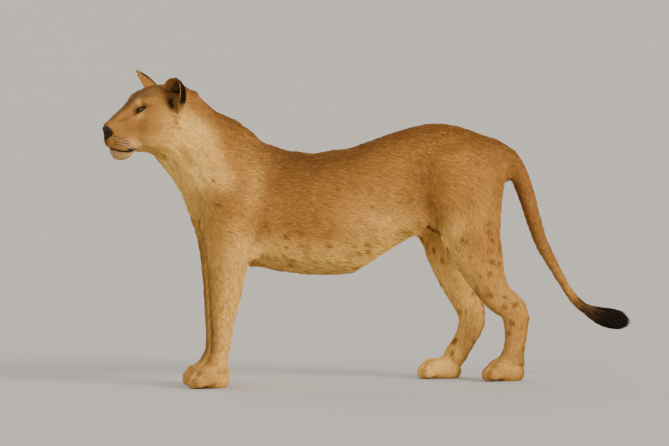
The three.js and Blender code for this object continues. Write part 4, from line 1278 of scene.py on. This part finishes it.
def lip_path(tree):
    """Places on the skin from one corner of the mouth round the front to the other, evenly spaced."""
    half = [on_skin(tree, (x, 120.0, z), (0, -1.0, 0)) for x, z in reversed(LIP_LINE)]
    half.pop()
    for turn in np.radians(np.arange(68, -1, -11.0)):
        way = np.array((-math.cos(turn), math.sin(turn), 0))
        half.append(on_skin(tree, np.array((-182, 0, -92.5)) + way * 90, -way))
    half = [p for p in half if p is not None]
    path = np.array(half + [p * (1, -1, 1) for p in reversed(half[:-1])])
    for _ in range(4):
        path[1:-1] = (path[:-2] + 2 * path[1:-1] + path[2:]) / 4
    steps = np.linspace(0, len(path) - 1, 90)
    return np.stack([np.interp(steps, np.arange(len(path)), path[:, k]) for k in range(3)], 1)


class LIONESS_OT_lips(bpy.types.Operator):
    """The dark lips, from one corner of the mouth round the front to the other"""

    bl_idname = "lioness.lips"
    bl_label = "Lips"

    def execute(self, context):
        path = lip_path(skin_tree(context))
        s = np.abs(np.linspace(-1, 1, len(path)))  # 0 at the front, 1 at both corners
        fullest = s - 0.77
        taper = np.sqrt(np.clip(1 - s**14, 0.02, 1))
        high = (2.9 + 5.6 * ridge(fullest, 0.09)) * taper
        deep = 3.4 * taper
        outwards = 1.4 * step(0.35, 0.6, s) + 2.6 * ridge(fullest, 0.12)
        path[:, 1] += np.sign(path[:, 1]) * outwards
        path[:, 2] += 2.5 * ridge(fullest, 0.10)
        up = np.tile((0.0, 0.0, 1.0), (len(path), 1))
        points, faces = tube(sweep(path, up, high, deep, 10))
        lips = mesh_from("lips", from_head(points), faces)
        face_outwards(lips)
        finish_piece(lips, lip_material(context.scene.lioness_coat))
        return {"FINISHED"}


class LIONESS_OT_whiskers(bpy.types.Operator):
    """Whiskers in four rows on each side of the muzzle"""

    bl_idname = "lioness.whiskers"
    bl_label = "Whiskers"

    def execute(self, context):
        longest = context.scene.lioness_face.whisker * 1000
        draw = np.random.default_rng(7)
        tree = skin_tree(context)
        roots = []
        for row in WHISKER_ROWS:
            count = row[2]
            roots += [(*whisker_spot(row, i), 1.0 - 0.35 * i / count) for i in range(0, count, 2)]
        t = np.linspace(0, 1, 9)[:, None]
        thick = 0.28 * (1 - 0.85 * t[:, 0])
        up = np.tile((0.0, 0.0, 1.0), (len(t), 1))
        sag = np.array((0.35, 0, -0.38))
        all_points, all_faces, start = [], [], 0
        for hand in (-1, 1):
            for x, z, size in roots:
                root = on_skin(tree, (x, hand * 120.0, z), (0, -hand, 0))
                if root is None:
                    continue
                length = longest * size * draw.uniform(0.75, 1.05)
                out = (0.35 + draw.uniform(0, 0.3), 0.85 * hand, draw.uniform(-0.25, 0.05))
                out = unit(np.array(out))
                path = root - out * 2.5 + out * (length * t) + sag * (length * t**2 * 0.6)
                points, faces = tube(sweep(path, up, thick, thick, 4))
                all_points.append(points)
                all_faces.append(faces + start)
                start += len(points)
        points, faces = np.concatenate(all_points), np.concatenate(all_faces)
        whiskers = mesh_from("whiskers", from_head(points), faces)
        face_outwards(whiskers)
        finish_piece(whiskers, whisker_material())
        return {"FINISHED"}


# ---------- The coat ----------


def draw_roots(mesh, wanted, draw):
    """Random places on a mesh, as many to a square metre as are wanted at each of its points.

    They come as arrays: place, normal, lie, colour, place on the map and one point of the face they lie on.
    """
    mesh.calc_loop_triangles()
    count = len(mesh.loop_triangles)
    tri = np.empty(count * 3, np.int32)
    mesh.loop_triangles.foreach_get("vertices", tri)
    tri = tri.reshape(-1, 3)
    loops = np.empty(count * 3, np.int32)
    mesh.loop_triangles.foreach_get("loops", loops)
    loops = loops.reshape(-1, 3)
    at = places(mesh)
    a, b, c = at[tri[:, 0]], at[tri[:, 1]], at[tri[:, 2]]
    area = np.linalg.norm(np.cross(b - a, c - a), axis=1) / 2
    share = area * wanted[tri].mean(1)
    total = np.cumsum(share)
    number = int(round(total[-1]))
    # one draw in each equal stretch of the sum keeps the spread even
    picks = (np.arange(number) + draw.random(number)) * total[-1] / number
    face = np.minimum(np.searchsorted(total, picks), count - 1)
    u, v = draw.random(number), draw.random(number)
    flip = u + v > 1
    u[flip], v[flip] = 1 - u[flip], 1 - v[flip]
    w = np.stack([1 - u - v, u, v], 1)
    corner = tri[face]

    def mixed(values):
        return (values[corner] * w[:, :, None]).sum(1)

    n = unit(mixed(normals(mesh)))
    lie = laid_on(mixed(read_attribute(mesh, "lie")), n)
    painted = "broad_colour" if "broad_colour" in mesh.attributes else "coat_colour"
    colour = mixed(read_attribute(mesh, painted))[:, :3]
    uv = np.empty(len(mesh.loops) * 2, np.float32)
    mesh.uv_layers[MAP].data.foreach_get("uv", uv)
    uv = uv.reshape(-1, 2)
    spot = (uv[loops[face]] * w[:, :, None]).sum(1)
    return dict(at=mixed(at), n=n, lie=lie, colour=colour, uv=spot, corner=corner[:, 0])


def blades(name, points, paints, spots, reverse=False):
    """One new object of closed blades, each with a small patch of the map at its own spot.

    Points and paints have an entry for each corner of a blade: three to a section, and one for the tip. The
    corners of a section run the other way round where reverse is set.
    """
    sections = len(points) // 3
    tip = sections * 3
    faces = [(0, 1, 2)]
    for k in range(sections - 1):
        for j in range(3):
            a, b = k * 3 + j, k * 3 + (j + 1) % 3
            faces += [(a, b + 3, b), (a, a + 3, b + 3)]
    faces += [(tip - 3 + j, tip, tip - 3 + (j + 1) % 3) for j in range(3)]
    faces = np.array(faces)[:, (0, 2, 1)] if reverse else np.array(faces)
    every = (np.arange(len(spots)) * (tip + 1))[:, None, None] + faces
    at = np.stack(points, 1).reshape(-1, 3)
    at[:, 2] = np.maximum(at[:, 2], 0.0004)  # none goes through the floor
    obj = mesh_from(name, at, every.reshape(-1, 3))
    write_colours(obj.data, "coat_colour", np.stack(paints, 1).reshape(-1, 3))
    corners = [(across, k / sections) for k in range(sections) for across in (0, 0.5, 1)]
    corners = np.array(corners + [(0.5, 1.0)]) - 0.5
    local = (spots[:, None, :] + corners * BLADE_PATCH).reshape(-1, 2)
    layer = obj.data.uv_layers.new(name=MAP, do_init=False)
    index = np.empty(len(obj.data.loops), np.int32)
    obj.data.loops.foreach_get("vertex_index", index)
    layer.data.foreach_set("uv", np.clip(local[index], 0, 1).astype(np.float32).ravel())
    return obj


def grow(name, roots, draw, sections=2, wave=0.10):
    """Tufts as one piece: closed blades that leave the skin, bend over and end in a point."""
    count = len(roots["at"])
    n, lie = roots["n"], roots["lie"]
    turn = draw.normal(0, wave, count)
    side = np.cross(n, lie)
    way = unit(lie * np.cos(turn)[:, None] + side * np.sin(turn)[:, None])
    side = np.cross(n, way)
    length = roots["length"] * draw.uniform(0.72, 1.22, count)
    width = roots["width"] * draw.uniform(0.8, 1.2, count)
    rise = roots["rise"] * draw.uniform(0.65, 1.25, count)
    thick = width * 0.42
    stations = np.linspace(0, 1, sections + 1)
    heights = np.interp(stations, [0, 0.45, 0.8, 1], [-0.55, 0.75, 1.0, 0.8])
    widths = np.interp(stations, [0, 0.45, 0.8, 1], [0.75, 1.0, 0.62, 0])
    shades = 1 + draw.normal(0, 0.19, count)
    # some tufts are a little grizzled, and each is darker at its root than at its tip
    grey = (draw.random(count) < 0.14)[:, None] * draw.uniform(0.2, 0.6, (count, 1))
    own_colour = roots["colour"] * (1 - grey + grey * np.array((0.55, 0.5, 0.42)))
    points, paints = [], []
    for s, h, w in zip(stations, heights, widths):
        middle = roots["at"] + way * (length * s)[:, None] + n * (rise * h)[:, None]
        glow = np.clip(shades * (0.86 + 0.30 * s), 0.3, 1.7)[:, None]
        colour = np.clip(own_colour * glow, 0, 1)
        if s < 1:
            half = (width * w / 2)[:, None]
            points += [middle - side * half, middle + n * (thick * w)[:, None], middle + side * half]
            paints += [colour] * 3
        else:
            points.append(middle)
            paints.append(colour)
    obj = blades(name, points, paints, roots["uv"])
    own = normals(obj.data)
    soft = unit(np.repeat(n, len(points), 0) * 0.78 + own * 0.22)
    obj.data.normals_split_custom_set_from_vertices(soft.tolist())
    finish_piece(obj, bpy.data.materials["coat_tufts"])


def bare_places(head, face):
    """Where the face has no hair: the nose, the rims of the lids, the lips and the groove above them."""
    x, y, z = head.T
    side = np.abs(y)
    bare = bell(mirrored(head), (-212, 0, -38), (16, 26, 26)) > 0.35
    for hand in (-1, 1):
        _, _, off, _, r = eye_map(head, hand, face)
        bare |= (y * hand > 0) & (r < EYE_REACH) & (off < 3.2)
    lips = np.abs(z - lip_height(head) - 0.5) < 4.0 + 4.5 * ridge(x + 128, 20)
    bare |= lips & (x < -92) & (x > -214)
    bare |= (side < 2.6) & (x < -190) & (z < -48) & (z > -100)
    bare |= (bell(head[:, (0, 2)], (-127, -96), (17, 6)) > 0.4) & (side > 24)
    return bare


def tuft_sizes(at, n, where, coat):
    """Length, width and rise of each tuft, in metres."""
    h = to_head(at)
    length = by_region(where, "length", coat.hair)
    width = by_region(where, "width", 0.0024)
    rise = by_region(where, "rise", coat.depth)
    on = where == HEAD
    front = step(60, -120, h[on, 0])
    length[on] = 0.016 - 0.010 * front
    width[on] = 0.0020 - 0.0008 * front
    rise[on] = 0.0026 - 0.0014 * front
    chin = step(-100, -112, h[:, 2]) * step(-88, -110, h[:, 0]) * on
    cheek = bell(mirrored(h), (34, 84, -22), (26, 60, 60)) * on
    by_eye = step(33, 20, from_eye(h)) * on
    belly = step(-0.3, -0.8, n[:, 2]) * (where == TRUNK)
    length = length * (1 + 0.9 * chin) * (1 + 0.6 * cheek) * (1 - 0.5 * by_eye) * (1 + 0.7 * belly)
    width = width * (1 - 0.4 * by_eye)
    rise = rise * (1 + 2.2 * chin) * (1 + 0.8 * cheek) * (1 - 0.1 * by_eye) * (1 + 0.9 * belly)
    return {"length": length, "width": width, "rise": rise}


def ear_fringe(ear, name, draw):
    """Roots of the long pale hair along the inner front edge of an ear, leaning out across its cup."""
    hand = -1 if name == "ear_left" else 1
    at = to_head(places(ear))
    opens = unit(turned(np.array(EAR_OPENS[name])))
    inner = at[:, 1] * hand
    low, high = np.percentile(inner, (2, 98))
    edge = step(low + 0.42 * (high - low), low + 0.12 * (high - low), inner)
    edge = edge * step(150, 120, at[:, 2]) * step(74, 86, at[:, 2])
    roots = draw_roots(ear, 34000 * edge * (normals(ear) @ opens > 0.1), draw)
    count = len(roots["at"])
    lean = unit(turned(np.array((-0.35, 0.75 * hand, 0.55))) + draw.normal(0, 0.15, (count, 3)))
    roots["n"] = np.tile(opens, (count, 1))
    roots["lie"] = laid_on(lean, roots["n"])
    roots["colour"] = np.tile((0.42, 0.23, 0.08), (count, 1)) * draw.uniform(0.45, 1.05, (count, 1))
    return roots


TUFTS_A_PIECE = 18500


class LIONESS_OT_coat(bpy.types.Operator):
    """The short coat, as tufts that lie along the body, in several pieces"""

    bl_idname = "lioness.coat"
    bl_label = "Coat"

    def execute(self, context):
        coat = context.scene.lioness_coat
        draw = np.random.default_rng(3)
        coat_material("coat_tufts", 0.25, 0)
        skin = bpy.data.objects["skin"].data
        region = read_attribute(skin, "region")
        at = places(skin)
        density = coat.density * by_region(region, "density", 1.0)
        bare = bare_places(to_head(at), context.scene.lioness_face) & (region == HEAD)
        density[bare | (at[:, 2] < 0.006)] = 0
        roots = draw_roots(skin, density, draw)
        at, n, where = roots["at"], roots["n"], region[roots["corner"]]
        roots["colour"] = fine_marks(at, n, where, roots["colour"], coat)
        roots |= tuft_sizes(at, n, where, coat)
        for number, label in enumerate(COAT_NAMES):
            chosen = np.flatnonzero(where == number)
            parts = max(1, math.ceil(len(chosen) / TUFTS_A_PIECE))
            order = chosen[np.argsort(at[chosen, 0], kind="stable")]
            for i, part in enumerate(np.array_split(order, parts)):
                name = f"coat_{label}" + (f"_{i + 1}" if parts > 1 else "")
                grow(name, {key: value[part] for key, value in roots.items()}, draw)
        for name in EAR_OPENS:
            ear = bpy.data.objects[name + "_cup"].data
            roots = draw_roots(ear, np.full(len(ear.vertices), 90000.0), draw)
            roots |= {"length": 0.010, "width": 0.0017, "rise": 0.0016}
            grow("coat_" + name, roots, draw, wave=0.2)
            fringe = ear_fringe(ear, name, draw)
            fringe |= {"length": 0.030, "width": 0.0018, "rise": 0.0085}
            grow("coat_" + name + "_fringe", fringe, draw, sections=3, wave=0.25)
        return {"FINISHED"}


TUFT_LOCKS = 4200
LOCK_SECTIONS = 5
FIRST_ROOT = -0.24  # where the first locks leave the tail, as a share of the tuft's length from its start
ROOT_SPREAD = 0.78


def tuft_middle(t):
    """The middle line of the tuft at shares of its length, and of the end of the tail before it."""
    line = np.array(TUFT_LINE)
    knots = np.linspace(0, 1, len(line))
    early = np.minimum(t, 0)[:, None] * (line[0] - np.array(TAIL_LINE[-3])) / 0.36
    return np.stack([np.interp(t, knots, line[:, k]) for k in range(3)], 1) + early


def tuft_radius(t):
    """How far the tuft reaches from its middle line: as thick as the tail first, then a long bulb."""
    bulb = 0.043 * np.sqrt(np.sin(np.pi * (0.11 + 0.88 * np.clip(t, 0, 1)) ** 1.25))
    return np.where(t < 0, 0.0165, np.maximum(bulb, 0.0165 * step(0.3, 0.0, t)))


class LIONESS_OT_tuft(bpy.types.Operator):
    """The black tuft at the end of the tail"""

    bl_idname = "lioness.tuft"
    bl_label = "Tail tuft"

    def execute(self, context):
        _, brown, _, black = tones(context.scene.lioness_coat)
        draw = np.random.default_rng(5)
        count = TUFT_LOCKS
        start = FIRST_ROOT + draw.random(count) * ROOT_SPREAD
        angle = draw.random(count) * 2 * np.pi
        outer = draw.random(count) < 0.7
        shell = np.where(outer, draw.uniform(0.72, 1.0, count), draw.uniform(0.25, 0.8, count))
        end = np.minimum(draw.uniform(0.82, 1.02, count), start + draw.uniform(0.36, 0.62, count))
        along = unit(tuft_middle(np.minimum(start + 0.05, 1)) - tuft_middle(start))
        across = unit(np.cross(along, (0.0, 0.0, 1.0)))
        up = np.cross(across, along)
        out = across * np.cos(angle)[:, None] + up * np.sin(angle)[:, None]
        side = np.cross(along, out)
        width = draw.uniform(0.0022, 0.0042, count)
        shade = draw.uniform(0.6, 1.9, count)
        sway = draw.normal(0, 0.004, (count, 3))
        points, paints = [], []
        for k in range(LOCK_SECTIONS + 1):
            s = k / LOCK_SECTIONS
            t = start + (end - start) * s
            root = np.minimum(tuft_radius(t), 0.0135) * 0.9
            away = root + (shell * tuft_radius(t) - root) * np.interp(s, [0, 0.4, 1], [0.0, 0.85, 1.0])
            away = away * (1 - 0.3 * s**3)
            centre = tuft_middle(t) + out * away[:, None] + sway * s * s
            early = step(0.10, -0.20, start)[:, None] * (1 - 0.75 * s)
            colour = black * (1 - early) + brown * (0.6, 0.75, 1.2) * early
            colour = np.clip(colour * (shade * (0.8 + 0.5 * s))[:, None], 0, 1)
            if k < LOCK_SECTIONS:
                half = (width * np.interp(s, [0, 0.5, 1], [0.8, 1.0, 0.3]))[:, None] / 2
                points += [centre - side * half, centre + out * half * 0.7, centre + side * half]
                paints += [colour] * 3
            else:
                points.append(centre)
                paints.append(colour)
        spots = np.stack([start, angle / (2 * np.pi)], 1) * 0.98 + 0.01
        tuft = blades("tuft_hair", points, paints, spots, reverse=True)
        face_outwards(tuft)
        finish_piece(tuft, bpy.data.materials["coat_tufts"])
        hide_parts("tail_tuft")
        return {"FINISHED"}


# ---------- Stage ----------

# Each light's name, place, spread in degrees, share of the main light's strength and colour.
LIGHTS = [
    ("main_light", (4.0, -4.2, 3.0), 20, 1.0, (1.0, 0.92, 0.78)),
    ("fill_light", (-4.2, -3.6, 2.4), 50, 0.2, (1.0, 0.97, 0.93)),
    ("back_light", (-1.5, 4.4, 3.4), 40, 0.25, (1.0, 0.95, 0.88)),
]
LIT_PLACE = (0.0, 0.0, 0.6)
SKY = (0.90, 0.88, 0.84, 1)
SKY_STRENGTH = 0.86
# The camera: its azimuth, elevation and roll in degrees, the view's width and middle in pixels, the metres
# that a pixel shows, and the pixel and place of the left forefoot's sole.
VIEW_ANGLES = (-6, 3.5, 1)
VIEW_WIDTH = 669
VIEW_MIDDLE = (334.5, 223)
PIXEL = 0.0038
SOLE_PIXEL = (210, 388)
SOLE_PLACE = (-0.617, -0.1, 0)
SENSOR = 36


def camera_place(lens):
    """Where the camera stands and which way it is turned."""
    az, el, roll = (math.radians(angle) for angle in VIEW_ANGLES)
    back = Vector((math.sin(az) * math.cos(el), -math.cos(az) * math.cos(el), math.sin(el)))
    level = Vector((math.cos(az), math.sin(az), 0))
    upright = back.cross(level)
    right = level * math.cos(roll) - upright * math.sin(roll)
    up = upright * math.cos(roll) + level * math.sin(roll)
    middle = Vector(SOLE_PLACE) - right * (SOLE_PIXEL[0] - VIEW_MIDDLE[0]) * PIXEL
    middle = middle - up * (VIEW_MIDDLE[1] - SOLE_PIXEL[1]) * PIXEL
    distance = VIEW_WIDTH * PIXEL * lens / SENSOR
    return Matrix.Translation(middle + back * distance) @ Matrix((right, up, back)).transposed().to_4x4()


class LIONESS_OT_stage(bpy.types.Operator):
    """A pale floor, soft lights and the camera"""

    bl_idname = "lioness.stage"
    bl_label = "Stage"

    def execute(self, context):
        stage = context.scene.lioness_stage
        deselect()
        bpy.ops.mesh.primitive_plane_add(size=400)
        floor = context.object
        floor.name = "floor"
        floor.data.materials.append(floor_material(stage))
        world = context.scene.world or bpy.data.worlds.new("world")
        context.scene.world = world
        world.use_nodes = True
        sky = world.node_tree.nodes["Background"]
        sky.inputs["Color"].default_value = SKY
        sky.inputs["Strength"].default_value = SKY_STRENGTH
        for name, at, spread, share, colour in LIGHTS:
            bpy.ops.object.light_add(type="SUN", location=at)
            light = context.object
            light.name = name
            light.data.angle = math.radians(spread)
            light.data.energy = stage.light * share
            light.data.color = colour
            aim = Vector(LIT_PLACE) - Vector(at)
            light.rotation_euler = aim.to_track_quat("-Z", "Y").to_euler()
        bpy.ops.object.camera_add()
        camera = context.object
        camera.name = "camera"
        camera.data.lens = stage.lens
        camera.data.clip_end = 1000
        camera.matrix_world = camera_place(stage.lens)
        context.scene.camera = camera
        return {"FINISHED"}


class LIONESS_PT_panel(bpy.types.Panel):
    """Buttons for each piece of the lioness"""

    bl_label = "Lioness"
    bl_idname = "LIONESS_PT_panel"
    bl_space_type = "VIEW_3D"
    bl_region_type = "UI"
    bl_category = "Lioness"

    def draw(self, context):
        for group in (context.scene.lioness_coat, context.scene.lioness_face, context.scene.lioness_stage):
            for key in group.bl_rna.properties.keys():
                if key not in {"rna_type", "name"}:
                    self.layout.prop(group, key)
        for operator in OPERATORS:
            self.layout.operator(operator.bl_idname)


OPERATORS = (
    LIONESS_OT_skin,
    LIONESS_OT_ears,
    LIONESS_OT_eyes,
    LIONESS_OT_nose,
    LIONESS_OT_lips,
    LIONESS_OT_whiskers,
    LIONESS_OT_coat,
    LIONESS_OT_tuft,
    LIONESS_OT_stage,
)
CLASSES = (LionessCoat, LionessFace, LionessStage, *OPERATORS, LIONESS_PT_panel)


def register():
    for cls in CLASSES:
        bpy.utils.register_class(cls)
    bpy.types.Scene.lioness_coat = bpy.props.PointerProperty(type=LionessCoat)
    bpy.types.Scene.lioness_face = bpy.props.PointerProperty(type=LionessFace)
    bpy.types.Scene.lioness_stage = bpy.props.PointerProperty(type=LionessStage)


def unregister():
    del bpy.types.Scene.lioness_coat
    del bpy.types.Scene.lioness_face
    del bpy.types.Scene.lioness_stage
    for cls in reversed(CLASSES):
        bpy.utils.unregister_class(cls)


def main():
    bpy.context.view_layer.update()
    register()
    bpy.ops.lioness.skin()
    bpy.ops.lioness.ears()
    bpy.ops.lioness.eyes()
    bpy.ops.lioness.nose()
    bpy.ops.lioness.lips()
    bpy.ops.lioness.whiskers()
    bpy.ops.lioness.coat()
    bpy.ops.lioness.tuft()
    bpy.ops.lioness.stage()


if __name__ == "__main__":
    main()
